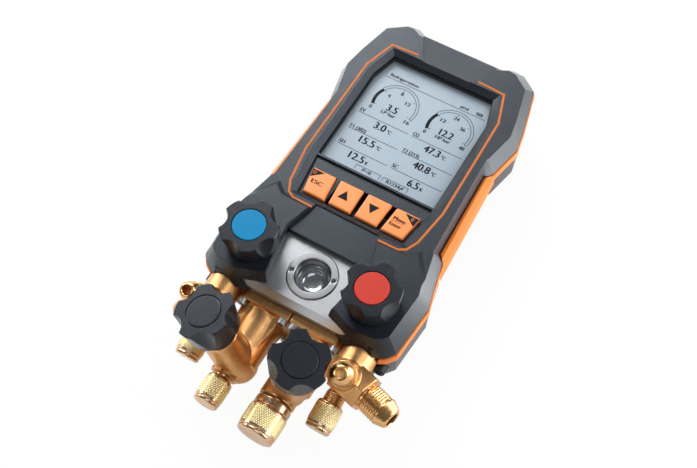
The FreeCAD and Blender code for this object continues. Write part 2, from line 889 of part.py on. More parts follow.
def stem_top():
    return -knob_height + knob_pocket_depth + stem_in_knob


def stem(name):
    low = valve_top(name) - stem_bore_depth + 0.5
    return rod(V(0, 0, low), Z, stem_radius, stem_top() - low)


def valve_top(name):
    # Top of the metal that carries the stem, measured from the knob's top face
    if name in ("low_side", "high_side"):
        return plate_z - side_knob_top
    return -knob_height - valve_neck


def gland(name):
    low = valve_top(name)
    collar = tube(V(0, 0, low), Z, gland_radius, stem_radius + running_gap, 4.0)
    nut = placed(hexagon(13.0, gland_height - 4.0), V(0, 0, low + 4.0), Z)
    nut = nut.cut(rod(V(0, 0, low), Z, stem_radius + running_gap, gland_height + 1))
    return collar.fuse(nut).removeSplitter()


def flare(size):
    # Male flare fitting along +Z from its shoulder at the origin
    tip = size["length"] + size["cone"]
    return turned_profile([(size["bore"], 0), (size["thread"] - 0.9, 0), (size["thread"] - 0.9, 1.4),
                           (size["thread"], 2.2), (size["thread"], size["length"]),
                           (size["thread"] - 0.9, size["length"] + 0.8),
                           (size["nose"] + 1.2, tip - 0.9), (size["nose"], tip), (size["bore"], tip)])


def flange_screw_places(side):
    inner = flange_inner + flange_screw_inset
    outer = flange_inner + flange_width - flange_screw_inset
    return [(side * x, z) for x in (inner, outer)
            for z in (flange_low_z + flange_screw_inset, flange_top_z - flange_screw_inset)]


def casting(side):
    front = block_front_y - flange_thickness
    x0 = flange_inner
    x1 = flange_inner + flange_width
    c = flange_fillet
    outline = [(x0, flange_low_z), (x1 - c, flange_low_z), (x1, flange_low_z + c), (x1, flange_top_z - c),
               (x1 - c, flange_top_z), (x0, flange_top_z)]
    flange = Part.Face(xz_wire(outline, block_front_y, side)).extrude(V(0, -flange_thickness, 0))
    top, axis = knob_places()["vacuum" if side > 0 else "refrigerant"]
    port_x = right_port_x if side > 0 else left_port_x
    size = large_flare if side > 0 else small_flare
    face_y = large_port_y if side > 0 else small_port_y
    valve_head = top + axis * valve_top("vacuum")
    reach = (valve_head.z - valve_end_z) / axis.z
    valve_low = valve_head - axis * reach
    barrel = rod(V(side * barrel_x, block_front_y, port_z), Y * -1, barrel_radius, block_front_y - valve_low.y)
    valve = rod(valve_low, axis, valve_radius, reach)
    end = Part.makeSphere(valve_radius, valve_low)
    web = Part.makeLoft([xz_wire(rectangle(web_wide, web_wide_z), front + 1, side),
                         xz_wire(rectangle(web_narrow, web_narrow_z), valve_low.y + 2, side)], True, True)
    hub_radius = size["thread"] + port_hub_wall
    hub = rod(V(port_x, valve_low.y, port_z), Y * -1, hub_radius, valve_low.y - face_y)
    fitting = placed(flare(size), V(port_x, face_y, port_z), Y * -1)
    body = flange.fuse([barrel, valve, end, web, hub, fitting])
    tip = size["length"] + size["cone"]
    cuts = [rod(valve_head - axis * stem_bore_depth, axis, stem_radius + running_gap, stem_bore_depth + 1),
            rod(V(port_x, face_y - tip - 1, port_z), Y, size["bore"], tip + drill_depth),
            rod(V(side * (flange_inner + flange_width / 2), block_front_y + 1, port_z), Y * -1, passage_radius, 12.0)]
    for x, z in flange_screw_places(side):
        cuts.append(rod(V(x, front - 1, z), Y, flange_screw_radius, flange_thickness + 2))
        cuts.append(rod(V(x, front, z), Y * -1, flange_screw_head + 0.15, 8))
    return body.cut(cuts)


def rectangle(across, upright):
    return [(across[0], upright[0]), (across[1], upright[0]), (across[1], upright[1]), (across[0], upright[1])]


def xz_wire(points, y, side):
    corners = [V(x * side, y, z) for x, z in points]
    return Part.makePolygon(corners + [corners[0]])


def flange_screws():
    screws = []
    front = block_front_y - flange_thickness
    for side in (-1, 1):
        for x, z in flange_screw_places(side):
            shank = rod(V(x, front, z), Y, flange_screw_radius, flange_thickness + flange_screw_length - 2)
            head = rod(V(x, front, z), Y * -1, flange_screw_head, flange_screw_height)
            key_hole = placed(hexagon(hex_socket, 1.8), V(x, front - flange_screw_height - 0.1, z), Y)
            screws.append(shank.fuse(head).cut(key_hole))
    return Part.makeCompound(screws)


def side_fitting(side):
    centre = V(side * cross[0], cross[1], cross[2])
    barrel = rod(V(centre.x, block_front_y, centre.z), Y * -1, side_barrel_radius, block_front_y - centre.y)
    spigot = rod(V(centre.x, block_front_y + spigot_depth - 0.5, centre.z), Y * -1, spigot_radius, spigot_depth)
    ball = Part.makeSphere(side_barrel_radius + 0.6, centre)
    up = up_axis(side)
    column = rod(centre - up * 8.0, up, side_barrel_radius - 0.8, 8.0)
    neck = Part.makeCone(side_barrel_radius - 0.8, up_hub_radius, up_face, centre, up)
    up_fit = placed(flare(small_flare), centre + up * up_face, up)
    drop = side_port_axis()
    face = V(side * side_port[0], side_port[1], side_port[2])
    hub = rod(face - drop * 8.0, drop, side_hub_radius, 8.0)
    port = placed(flare(side_flare), face, drop)
    body = barrel.fuse([spigot, ball, column, neck, up_fit, hub, port] + outward_branch(centre, side))
    up_tip = up_face + small_flare["length"] + small_flare["cone"]
    port_tip = side_flare["length"] + side_flare["cone"]
    cuts = [rod(centre + up * (up_tip + 1), up * -1, small_flare["bore"], 20.0),
            rod(face + drop * (port_tip + 1), drop * -1, side_flare["bore"], 22.0),
            rod(V(centre.x, block_front_y + spigot_depth, centre.z), Y * -1, small_flare["bore"], 16.0)]
    if side > 0:
        out = out_axis(side)
        out_tip = out_face + large_flare["length"] + large_flare["cone"]
        cuts.append(rod(centre + out * (out_tip + 1), out * -1, large_flare["bore"], 24.0))
    return body.cut(cuts).removeSplitter()


def outward_branch(centre, side):
    # Large flare on the right, closed boss with a round end on the left
    if side > 0:
        out = out_axis(side)
        return [placed(hexagon(out_hex, out_face), centre, out),
                placed(flare(large_flare), centre + out * out_face, out)]
    turn = math.radians(blank_turn)
    out = V(side * math.cos(turn), -math.sin(turn), 0)
    return [rod(centre, out, blank_radius, blank_reach),
            Part.makeSphere(blank_radius, centre + out * blank_reach)]


def port_places():
    drop = side_port_axis()
    return {
        "low_side": (V(-side_port[0], side_port[1], side_port[2]), drop, side_flare, small_cap),
        "refrigerant": (V(left_port_x, small_port_y, port_z), Y * -1, small_flare, small_cap),
        "vacuum": (V(right_port_x, large_port_y, port_z), Y * -1, large_flare, large_cap),
        "high_side": (V(side_port[0], side_port[1], side_port[2]), drop, side_flare, small_cap),
    }


def cap(size, style):
    # Along +Z, closed end last, measured from the fitting's shoulder
    end = size["length"] + size["cone"] + seat_gap + seal_thickness + cap_wall
    start = end - style["length"]
    radius = style["radius"]
    bore = size["thread"] + cap_gap
    collar = style["collar"]
    outer = [(bore, start), (radius - 1.0, start), (radius - 0.4, start + 0.6)]
    if collar > 0:
        outer += [(radius - 0.4, start + collar), (radius - 1.4, start + collar + 0.4),
                  (radius, start + collar + 1.2)]
    else:
        outer += [(radius, start + 1.0)]
    outer += [(radius, end - 2.6), (radius - 0.5, end - 2.2), (radius - 0.2, end - 1.6), (radius - 0.4, end - 0.5),
              (radius - 1.2, end), (0, end), (0, end - cap_wall), (bore, end - cap_wall)]
    return turned_profile(outer)


def cap_seal(size):
    start = size["length"] + size["cone"] + seat_gap
    return rod(V(0, 0, start), Z, size["thread"] - 0.2, seal_thickness)


def pieces():
    made = {
        "front_shell": front_shell(),
        "rear_shell": rear_shell(),
        "seam_band": seam_band(),
        "grip_pad_left": grip_pad(-1),
        "grip_pad_right": grip_pad(1),
        "trim_line_left": trim_line(-1),
        "trim_line_right": trim_line(1),
        "display_window": display_window(),
        "display_frame": display_frame(),
        "lcd_panel": lcd_panel(),
        "circuit_board": circuit_board(),
        "keypad_mat": keypad_mat(),
        "battery_cover": battery_cover(),
        "battery_cells": battery_cells(),
        "battery_contacts": battery_contacts(),
        "hanging_hook": hanging_hook(),
        "hook_pin": hook_pin(),
        "case_screws": case_screw_set(),
        "probe_socket_left": probe_socket(-1),
        "probe_socket_right": probe_socket(1),
        "valve_block": valve_block(),
        "sight_glass_ring": sight_glass_ring(),
        "sight_glass_lens": sight_glass_lens(),
        "sight_glass_seal": sight_glass_seal(),
        "pressure_sensor_left": pressure_sensor(-1),
        "pressure_sensor_right": pressure_sensor(1),
        "casting_left": casting(-1),
        "casting_right": casting(1),
        "side_fitting_left": side_fitting(-1),
        "side_fitting_right": side_fitting(1),
        "flange_screws": flange_screws(),
    }
    for index, name in enumerate(("key_escape", "key_up", "key_down", "key_menu")):
        made[name] = key(index)
    for name, (top, axis) in knob_places().items():
        made[name + "_knob"] = placed(knob(lobe_angle[name]), top, axis)
        made[name + "_disc"] = placed(knob_disc(), top, axis)
        made[name + "_stem"] = placed(stem(name), top, axis)
        made[name + "_gland"] = placed(gland(name), top, axis)
    for name, (face, axis, size, style) in port_places().items():
        made[name + "_cap"] = placed(cap(size, style), face, axis)
        made[name + "_cap_seal"] = placed(cap_seal(size), face, axis)
    return made


if __name__ == "__main__":
    os.makedirs("parts", exist_ok=True)
    for name, shape in pieces().items():
        if not shape.isValid():
            print("not valid:", name)
        shape.exportStep("parts/" + name + ".step")
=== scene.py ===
import json
import math

import bmesh
import bpy
from bpy.props import FloatProperty, FloatVectorProperty, IntProperty, PointerProperty
from bpy.types import Operator, Panel, PropertyGroup
from mathutils import Matrix, Vector


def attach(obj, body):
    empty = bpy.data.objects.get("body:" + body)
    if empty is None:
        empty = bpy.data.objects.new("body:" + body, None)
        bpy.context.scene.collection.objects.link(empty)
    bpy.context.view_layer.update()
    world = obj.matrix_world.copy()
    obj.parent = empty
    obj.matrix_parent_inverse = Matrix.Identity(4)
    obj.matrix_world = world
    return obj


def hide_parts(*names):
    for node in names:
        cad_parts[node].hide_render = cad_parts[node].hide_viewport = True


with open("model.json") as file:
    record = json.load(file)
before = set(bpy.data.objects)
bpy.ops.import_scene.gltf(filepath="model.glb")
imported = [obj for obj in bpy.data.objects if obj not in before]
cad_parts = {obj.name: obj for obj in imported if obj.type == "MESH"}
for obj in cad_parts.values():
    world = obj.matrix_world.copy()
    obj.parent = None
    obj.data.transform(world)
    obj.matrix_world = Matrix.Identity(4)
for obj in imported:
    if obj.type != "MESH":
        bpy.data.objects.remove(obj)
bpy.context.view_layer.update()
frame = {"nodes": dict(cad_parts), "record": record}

bl_info = {
    "name": "Refrigerant manifold gauge",
    "version": (1, 0, 0),
    "blender": (4, 5, 0),
    "location": "View3D > Sidebar > Gauge",
    "description": "Dresses the packed gauge with finishes, threads, knurls and a working display",
    "category": "Object",
}

MM = 0.001
# Points round a turned piece, and the distance below which vertices are one
LATHE_STEPS = 96
WELD = 0.002 * MM
# Between two faces, in degrees: up to here they are one flat face, and from here a turned or a bevelled edge is sharp
FLAT_ANGLE, TURNED_EDGE, BEVELLED_EDGE = 0.6, 32.0, 42.0
SIDES = {"left": -1, "right": 1}
# Every valve, with the finish of the disc in its knob
VALVES = {"low_side": "low_side", "high_side": "high_side", "refrigerant": "knob", "vacuum": "knob"}
ROOT = "gauge"


# Sizes and colours
class GaugeSettings(PropertyGroup):
    """Sizes and colours of the gauge's finish"""
    shell_edge: FloatProperty(name="Shell edge", description="Rounding of the housing's edges", default=0.55 * MM,
                              unit="LENGTH")
    forging_passes: IntProperty(name="Forging passes", description="Smoothing passes over the forged brass", default=8)
    forging_grid: FloatProperty(name="Forging grid", description="Grid of the forged brass surface", default=0.42 * MM,
                                unit="LENGTH")
    thread_depth: FloatProperty(name="Thread depth", description="Depth of the flare threads", default=0.62 * MM,
                                unit="LENGTH")
    knurl_depth: FloatProperty(name="Knurl depth", description="Depth of the caps' knurl", default=0.30 * MM,
                               unit="LENGTH")
    knurl_pitch: FloatProperty(name="Knurl pitch", description="Distance between knurl ridges", default=1.35 * MM,
                               unit="LENGTH")
    print_height: FloatProperty(name="Print height", description="Print above its surface", default=0.03 * MM,
                                unit="LENGTH")
    shell_colour: FloatVectorProperty(name="Shell", description="Charcoal plastic", subtype="COLOR",
                                      default=(0.0115, 0.0148, 0.0205))
    knob_colour: FloatVectorProperty(name="Knob", description="Knob plastic", subtype="COLOR",
                                     default=(0.0130, 0.0150, 0.0190))
    orange: FloatVectorProperty(name="Orange", description="Band, grips and keys", subtype="COLOR",
                                default=(0.84, 0.225, 0.025))
    key_orange: FloatVectorProperty(name="Key orange", description="Key tops", subtype="COLOR",
                                    default=(0.82, 0.255, 0.066))
    low_side_colour: FloatVectorProperty(name="Low side", description="Low side disc", subtype="COLOR",
                                         default=(0.002, 0.19, 0.40))
    high_side_colour: FloatVectorProperty(name="High side", description="High side disc", subtype="COLOR",
                                          default=(0.50, 0.046, 0.032))
    lcd_colour: FloatVectorProperty(name="Display", description="Display background", subtype="COLOR",
                                    default=(0.37, 0.46, 0.54))
    ink_colour: FloatVectorProperty(name="Ink", description="Display segments and key legends", subtype="COLOR",
                                    default=(0.006, 0.007, 0.010))
    brass: FloatVectorProperty(name="Brass", description="Forged brass", subtype="COLOR", default=(0.69, 0.40, 0.17))
    cap_brass: FloatVectorProperty(name="Cap brass", description="Knurled caps", subtype="COLOR",
                                   default=(0.97, 0.80, 0.40))
    cap_band: FloatVectorProperty(name="Cap band", description="Polished bands of the caps", subtype="COLOR",
                                  default=(0.62, 0.41, 0.25))
    aluminium: FloatVectorProperty(name="Aluminium", description="Brushed block", subtype="COLOR",
                                   default=(0.44, 0.45, 0.47))


class StageSettings(PropertyGroup):
    """Camera, lamps and floor"""
    camera_place: FloatVectorProperty(name="Camera", description="Camera position", subtype="TRANSLATION",
                                      default=(0.17756, -0.27135, 0.59364))
    azimuth: FloatProperty(name="Azimuth", description="Turn about the upright axis", default=math.radians(36.207),
                           subtype="ANGLE")
    elevation: FloatProperty(name="Elevation", description="Height angle", default=math.radians(61.834),
                             subtype="ANGLE")
    roll: FloatProperty(name="Roll", description="Turn about the view line", default=math.radians(-6.080),
                        subtype="ANGLE")
    focal_length: FloatProperty(name="Focal length", description="Lens in millimetres", default=61.98)
    floor_size: FloatProperty(name="Floor", description="Width of the floor", default=6.0, unit="LENGTH")
    world_level: FloatProperty(name="World level", description="Strength of the even light", default=0.17)


# Shader and geometry maths
class Value:
    """A socket that can be used in sums, on either side of a number"""

    def __init__(self, tree, socket):
        self.tree = tree
        self.socket = socket

    def math(self, operation, *others):
        return add_node(self.tree, "ShaderNodeMath", self, *others, settings={"operation": operation})

    def __add__(self, other):
        return self.math("ADD", other)

    def __sub__(self, other):
        return self.math("SUBTRACT", other)

    def __mul__(self, other):
        return self.math("MULTIPLY", other)

    def __truediv__(self, other):
        return self.math("DIVIDE", other)

    def __rsub__(self, other):
        return (self * -1.0).math("ADD", other)

    __radd__ = __add__
    __rmul__ = __mul__

    def above(self, edge, softness):
        """0 below the edge, 1 above it, and a slope of that softness between"""
        return ((self - edge) / softness).math("ADD", 0.5).clamped()

    def clamped(self):
        return self.math("MAXIMUM", 0.0).math("MINIMUM", 1.0)

    def ridge(self):
        """0 to 1 and back once per unit, with straight flanks"""
        return ((self.math("FRACT") - 0.5).math("ABSOLUTE")) * 2.0

    def plan(self):
        """The X and the Y of a point"""
        return [add_node(self.tree, "ShaderNodeSeparateXYZ", self, output=axis) for axis in "XY"]


def connect(tree, item, slot):
    """Links a computed value, or sets a fixed one"""
    if isinstance(item, Value):
        tree.links.new(item.socket, slot)
    else:
        slot.default_value = item


def add_node(tree, kind, *values, settings=None, output=0, **named):
    """One output of a new node: first its settings, then the values or links of its sockets, in order or by name"""
    node = tree.nodes.new(kind)
    for key, value in (settings or {}).items():
        setattr(node, key, value)
    for slot, value in zip(node.inputs, values):
        connect(tree, value, slot)
    for key, value in named.items():
        connect(tree, value, node.inputs[key])
    return Value(tree, node.outputs[output])


class Finish:
    """A material's node tree around one surface shader; lengths in its patterns are in millimetres"""

    def __init__(self, name, colour, roughness, metallic=0.0, **fixed):
        self.material = bpy.data.materials.new(name)
        self.material.use_nodes = True
        self.tree = self.material.node_tree
        self.surface = self.tree.nodes["Principled BSDF"]
        self.set("Base Color", (*colour, 1.0))
        self.set("Roughness", roughness)
        self.set("Metallic", metallic)
        for key, value in fixed.items():
            self.set(key.replace("_", " "), value)
        self.material.diffuse_color = (*colour, 1.0)

    def set(self, socket, value):
        connect(self.tree, value, self.surface.inputs[socket])

    def node(self, kind, *values, **given):
        return add_node(self.tree, kind, *values, **given)

    def place(self, scale=(1, 1, 1)):
        """Position on the piece in millimetres, stretched by a scale"""
        point = self.node("ShaderNodeTexCoord", output="Object")
        return self.node("ShaderNodeMapping", Vector=point, Scale=tuple(s / MM for s in scale))

    def noise(self, point, scale, detail=2.0, rough=0.5):
        return self.node("ShaderNodeTexNoise", Vector=point, Scale=scale, Detail=detail, Roughness=rough)

    def colours(self, amount, first, second):
        """From the first to the second colour"""
        first, second = (c if isinstance(c, Value) else (*c, 1.0) for c in (first, second))
        return self.node("ShaderNodeMix", settings={"data_type": "RGBA"}, output="Result", Factor=amount,
                         A=first, B=second)

    def uneven(self, roughness, *marks):
        """Roughness that follows (mark from 0 to 1, spread) about its middle"""
        for mark, spread in marks:
            roughness = roughness + (mark - 0.5) * spread
        self.set("Roughness", roughness)

    def grained(self, mark, colour, darker, lighter, roughness, spread):
        """Colour and roughness that both follow one mark"""
        self.set("Base Color", self.colours(mark, shade(colour, darker), shade(colour, lighter)))
        self.uneven(roughness, (mark, spread))

    def bump(self, height, strength, distance):
        bumped = self.node("ShaderNodeBump", Height=height, Strength=strength, Distance=distance * MM)
        self.set("Normal", bumped)


def shade(colour, factor):
    return tuple(min(1.0, c * factor) for c in colour)


# Finishes
def moulded(name, colour, roughness, lightening, bump, sheen=(1.0, 1.0, 1.0), gloss=0.5, grain=1.3, spread=0.3):
    """Spark-eroded plastic: fine grain over broad, faint clouds"""
    finish = Finish(name, colour, roughness, Specular_Tint=(*sheen, 1.0), Specular_IOR_Level=gloss)
    point = finish.place()
    fine = finish.noise(point, grain, detail=3.0, rough=0.75)
    broad = finish.noise(point, 0.045)
    finish.set("Base Color", finish.colours(fine * 0.6 + broad * 0.4, shade(colour, 2.0 - lightening),
                                            shade(colour, lightening)))
    finish.uneven(roughness, (fine, spread), (broad, 0.08))
    finish.bump(fine, bump, 0.22)
    return finish.material


def rubber(name, colour, roughness=0.62):
    """Soft, nearly matt plastic"""
    finish = Finish(name, colour, roughness, Specular_IOR_Level=0.3)
    fine = finish.noise(finish.place(), 3.4, rough=0.7)
    finish.grained(fine, colour, darker=0.85, lighter=1.15, roughness=roughness, spread=0.12)
    finish.bump(fine, 0.15, 0.1)
    return finish.material


def satin_insert(name, colour, roughness=0.36):
    """Even, coloured plastic with a faint gloss"""
    finish = Finish(name, colour, roughness, Specular_IOR_Level=0.16)
    fine = finish.noise(finish.place(), 5.0, rough=0.6)
    finish.grained(fine, colour, darker=0.9, lighter=1.1, roughness=roughness, spread=0.10)
    finish.bump(fine, 0.10, 0.05)
    return finish.material


def brushed_metal(name, colour, stretch=(0.012, 0.55, 0.55), roughness=0.40):
    """Straight brushing along X, or even grain where the stretch is even"""
    finish = Finish(name, colour, roughness, metallic=1.0)
    lines = finish.noise(finish.place(stretch), 3.0, detail=4.0, rough=0.7)
    fine = finish.noise(finish.place(tuple(s * 3.0 for s in stretch)), 3.0, rough=0.6)
    mark = lines * 0.6 + fine * 0.4
    finish.grained(mark, colour, darker=0.72, lighter=1.22, roughness=roughness, spread=0.22)
    finish.bump(mark, 0.16, 0.06)
    return finish.material


def forged_brass(name, colour, roughness=0.34):
    """Blasted forging, darker and redder in patches"""
    finish = Finish(name, colour, roughness, metallic=1.0)
    point = finish.place()
    broad = finish.noise(point, 0.13, detail=3.0, rough=0.6)
    grain = finish.noise(point, 1.5, detail=3.0, rough=0.7)
    mark = (broad * 0.5 + grain * 0.5).above(0.5, 0.5)
    patch = tuple(c * f for c, f in zip(colour, (0.74, 0.64, 0.56)))
    finish.set("Base Color", finish.colours(mark, patch, shade(colour, 1.15)))
    finish.uneven(roughness, (grain, 0.3), (broad, 0.12))
    finish.bump(grain, 0.32, 0.16)
    return finish.material


def turned_brass(name, colour, roughness):
    """Machined brass"""
    finish = Finish(name, colour, roughness, metallic=1.0)
    fine = finish.noise(finish.place(), 1.4, detail=3.0, rough=0.6)
    finish.grained(fine, colour, darker=0.85, lighter=1.12, roughness=roughness, spread=0.12)
    finish.bump(fine, 0.05, 0.04)
    return finish.material


def plated_steel(name, colour, roughness):
    """Screws, pins and sensors"""
    finish = Finish(name, colour, roughness, metallic=1.0)
    fine = finish.noise(finish.place(), 1.6, detail=3.0, rough=0.6)
    finish.grained(fine, colour, darker=0.8, lighter=1.1, roughness=roughness, spread=0.15)
    return finish.material


# Half the width and the top of the display's even part, how softly the painted shade from the bezel darkens it in
# millimetres, and how far
EVEN_SIDE, EVEN_TOP, BEZEL_SHADE_SOFTNESS, BEZEL_SHADE_SHARE = 31.5, 71.5, 9.0, 0.55


def display_background(name, colour):
    """Pale liquid crystal, a little darker towards its sides and top, where the bezel's shade is painted"""
    finish = Finish(name, colour, 0.35)
    point = finish.place()
    x, y = point.plan()
    # Painted shade from the bezel: the display darkens along its sides and top
    edge = (x.math("ABSOLUTE").above(EVEN_SIDE, BEZEL_SHADE_SOFTNESS) + y.above(EVEN_TOP, BEZEL_SHADE_SOFTNESS)).clamped()
    lit = finish.colours(finish.noise(point, 0.02, detail=1.0), shade(colour, 0.97), shade(colour, 1.06))
    finish.set("Base Color", finish.colours(edge * BEZEL_SHADE_SHARE, lit, shade(colour, 0.62)))
    return finish.material


def clear_cover(name, roughness=0.3):
    """Clear plastic: a thin haze with a faint gloss"""
    finish = Finish(name, (0.02, 0.022, 0.024), roughness, Alpha=0.06, Specular_IOR_Level=0.25)
    finish.uneven(roughness, (finish.noise(finish.place(), 0.05, detail=1.0), 0.04))
    return finish.material


def lens_glass(name, roughness=0.16):
    """Glass over a bright bowl, which mirrors what is above it"""
    finish = Finish(name, (0.40, 0.43, 0.46), roughness, metallic=0.85)
    finish.uneven(roughness, (finish.noise(finish.place(), 0.08, detail=1.0), 0.05))
    return finish.material


def plain_print(name, colour, roughness=0.5):
    """Flat ink or paint"""
    finish = Finish(name, colour, roughness, Specular_IOR_Level=0.12)
    finish.uneven(roughness, (finish.noise(finish.place(), 4.0), 0.1))
    return finish.material


def finishes():
    """Every finish by its name"""
    s = bpy.context.scene.gauge
    return {
        "shell": moulded("charcoal plastic", s.shell_colour[:], 0.22, lightening=1.6, bump=0.6,
                         sheen=(0.82, 0.91, 1.0), gloss=0.42, grain=1.7),
        "knob": moulded("knob plastic", s.knob_colour[:], 0.28, lightening=1.2, bump=0.2,
                        sheen=(0.88, 0.94, 1.0), gloss=0.34, grain=2.6, spread=0.15),
        "orange": moulded("orange plastic", s.orange[:], 0.5, lightening=1.08, bump=0.1),
        "trim": rubber("orange line", shade(s.orange[:], 0.6), 0.5),
        "grip": rubber("orange grip", s.orange[:], 0.5),
        "key": moulded("key plastic", s.key_orange[:], 0.38, lightening=1.06, bump=0.08),
        "low_side": satin_insert("blue insert", s.low_side_colour[:]),
        "high_side": satin_insert("red insert", s.high_side_colour[:]),
        "mask": rubber("black mask", (0.008, 0.008, 0.009), 0.4),
        "rubber": rubber("black rubber", (0.016, 0.016, 0.017), 0.55),
        "silicone": rubber("grey silicone", (0.20, 0.20, 0.21)),
        "lcd": display_background("display glass", s.lcd_colour[:]),
        "ink": plain_print("dark ink", s.ink_colour[:]),
        "pale_ink": plain_print("pale ink", s.key_orange[:]),
        "window": clear_cover("clear window"),
        "lens": lens_glass("sight glass"),
        "block": brushed_metal("brushed aluminium", s.aluminium[:]),
        "ring": brushed_metal("turned aluminium", shade(s.aluminium[:], 0.8), (0.5, 0.5, 0.5), 0.36),
        "brass": forged_brass("forged brass", s.brass[:]),
        "machined": turned_brass("machined brass", shade(s.brass[:], 0.92), 0.27),
        "knurl": turned_brass("knurled brass", s.cap_brass[:], 0.3),
        "cap": turned_brass("cap brass", s.cap_band[:], 0.26),
        # Dark brown and not metal: painted shade in the deep bores of the flares
        "bore": plain_print("bore painted shade", (0.09, 0.03, 0.008)),
        "steel": plated_steel("plated steel", (0.42, 0.42, 0.43), 0.3),
        "board": plain_print("circuit board", (0.02, 0.13, 0.05)),
        "sleeve": satin_insert("cell sleeve", (0.05, 0.05, 0.055)),
    }


# Mesh helpers
def linked(name, data):
    """A new object at the origin, in the scene"""
    thing = bpy.data.objects.new(name, data)
    bpy.context.scene.collection.objects.link(thing)
    return thing


def piece(name, mesh, body, finish, stands_for=()):
    """An object at the origin that rides on a body"""
    thing = linked(name, mesh)
    mesh.materials.clear()
    mesh.materials.append(FINISHES[finish])
    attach(thing, body)
    if stands_for:
        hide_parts(*stands_for)


def welded(node):
    """The node's mesh to work on, with its doubles merged"""
    work = bmesh.new()
    work.from_mesh(frame["nodes"][node].data)
    bmesh.ops.remove_doubles(work, verts=work.verts, dist=WELD)
    return work


def written(work, name):
    """What was worked on, as a new mesh"""
    mesh = bpy.data.meshes.new(name)
    work.to_mesh(mesh)
    work.free()
    return mesh


def copied(node):
    """The node's mesh with its doubles merged and its flat faces whole"""
    work = welded(node)
    bmesh.ops.dissolve_limit(work, angle_limit=math.radians(FLAT_ANGLE), verts=work.verts, edges=work.edges)
    return written(work, node + "_form")


def taken(thing):
    """The mesh of a helper object with its modifiers applied; the helper goes"""
    bpy.context.view_layer.update()
    mesh = bpy.data.meshes.new_from_object(thing.evaluated_get(bpy.context.evaluated_depsgraph_get()))
    bpy.data.objects.remove(thing)
    return mesh


def applied(mesh, *modifiers):
    """The mesh after a list of (type, settings)"""
    thing = linked("work", mesh)
    for kind, settings in modifiers:
        modifier = thing.modifiers.new(kind.title(), kind)
        for key, value in settings.items():
            setattr(modifier, key, value)
    return taken(thing)


def smooth(mesh, angle):
    """Smooth shading, with the edges above an angle kept sharp"""
    mesh.shade_smooth()
    mesh.set_sharp_from_angle(angle=math.radians(angle))
    return mesh


def softened(node, finish, width, segments=2, angle=28.0):
    """The node's form with rounded edges, shown in its place"""
    bevel = {"width": width, "segments": segments, "limit_method": "ANGLE", "angle_limit": math.radians(angle),
             "harden_normals": False, "use_clamp_overlap": True, "miter_outer": "MITER_ARC"}
    mesh = smooth(applied(copied(node), ("BEVEL", bevel), ("TRIANGULATE", {"min_vertices": 5})), BEVELLED_EDGE)
    mesh = applied(mesh, ("WEIGHTED_NORMAL", {"keep_sharp": True, "weight": 50}))
    piece(node + "_form", mesh, BODY_OF[node], finish, (node,))


def painted(node, finish):
    """A CAD node that stays, with a better finish"""
    thing = frame["nodes"][node]
    thing.data.materials.clear()
    thing.data.materials.append(FINISHES[finish])


def forged(node, flares):
    """The node as one forging: its flares taken off, its edges and corners rounded all over"""
    settings = bpy.context.scene.gauge
    work = welded(node)
    for face, axis, kind in flares:
        size = FLARE_SIZES[kind]
        gone = []
        for vertex in work.verts:
            away = vertex.co - face
            along = away.dot(axis)
            radius = (away - axis * along).length
            outside = along > 0.01 * MM and radius < size["thread"] + THREAD_MARGIN
            drilled = along > -DRILL and radius < size["nose"] + NOSE_MARGIN
            if outside or drilled:
                gone.append(vertex)
        bmesh.ops.delete(work, geom=gone, context="VERTS")
    bmesh.ops.holes_fill(work, edges=[edge for edge in work.edges if edge.is_boundary])
    bmesh.ops.triangulate(work, faces=work.faces)
    mesh = applied(written(work, node + "_forging"),
                   ("REMESH", {"mode": "VOXEL", "voxel_size": settings.forging_grid}),
                   ("SMOOTH", {"factor": 0.5, "iterations": settings.forging_passes}))
    mesh.shade_smooth()
    piece(node + "_form", mesh, BODY_OF[node], "brass", (node,))


def aimed(point, axis):
    """Turn from Z to the axis, then a move to the point"""
    return Matrix.Translation(point) @ Vector((0, 0, 1)).rotation_difference(axis).to_matrix().to_4x4()


def lathe(name, profile, place, painted_shade_rows=0):
    """Surface of revolution through (radius, height) in metres, set in its place, its last rows in material two, which
    the flares use for the painted shade of their bores
    """
    work = bmesh.new()
    rings = []
    for radius, height in profile:
        steps = LATHE_STEPS if radius > 0 else 1
        rings.append([work.verts.new((radius * math.cos(2 * math.pi * i / LATHE_STEPS),
                                      radius * math.sin(2 * math.pi * i / LATHE_STEPS), height))
                      for i in range(steps)])
    for row, (low, high) in enumerate(zip(rings, rings[1:])):
        for i in range(LATHE_STEPS):
            j = (i + 1) % LATHE_STEPS
            corners = [low[i % len(low)], low[j % len(low)], high[j % len(high)], high[i % len(high)]]
            face = work.faces.new(list(dict.fromkeys(corners)))
            face.material_index = int(row >= len(profile) - 1 - painted_shade_rows)
    mesh = smooth(written(work, name), TURNED_EDGE)
    mesh.transform(place)
    return mesh


# Whole turns that keep a fraction above zero
WHOLE_TURNS = 64.0
# Height of a crossing in the knurl over its pitch, sharpness of its crests, and how fast a relief grows from an end
KNURL_SLANT, KNURL_CREST, END_SLOPE = 1.5, 1.6, 1.4


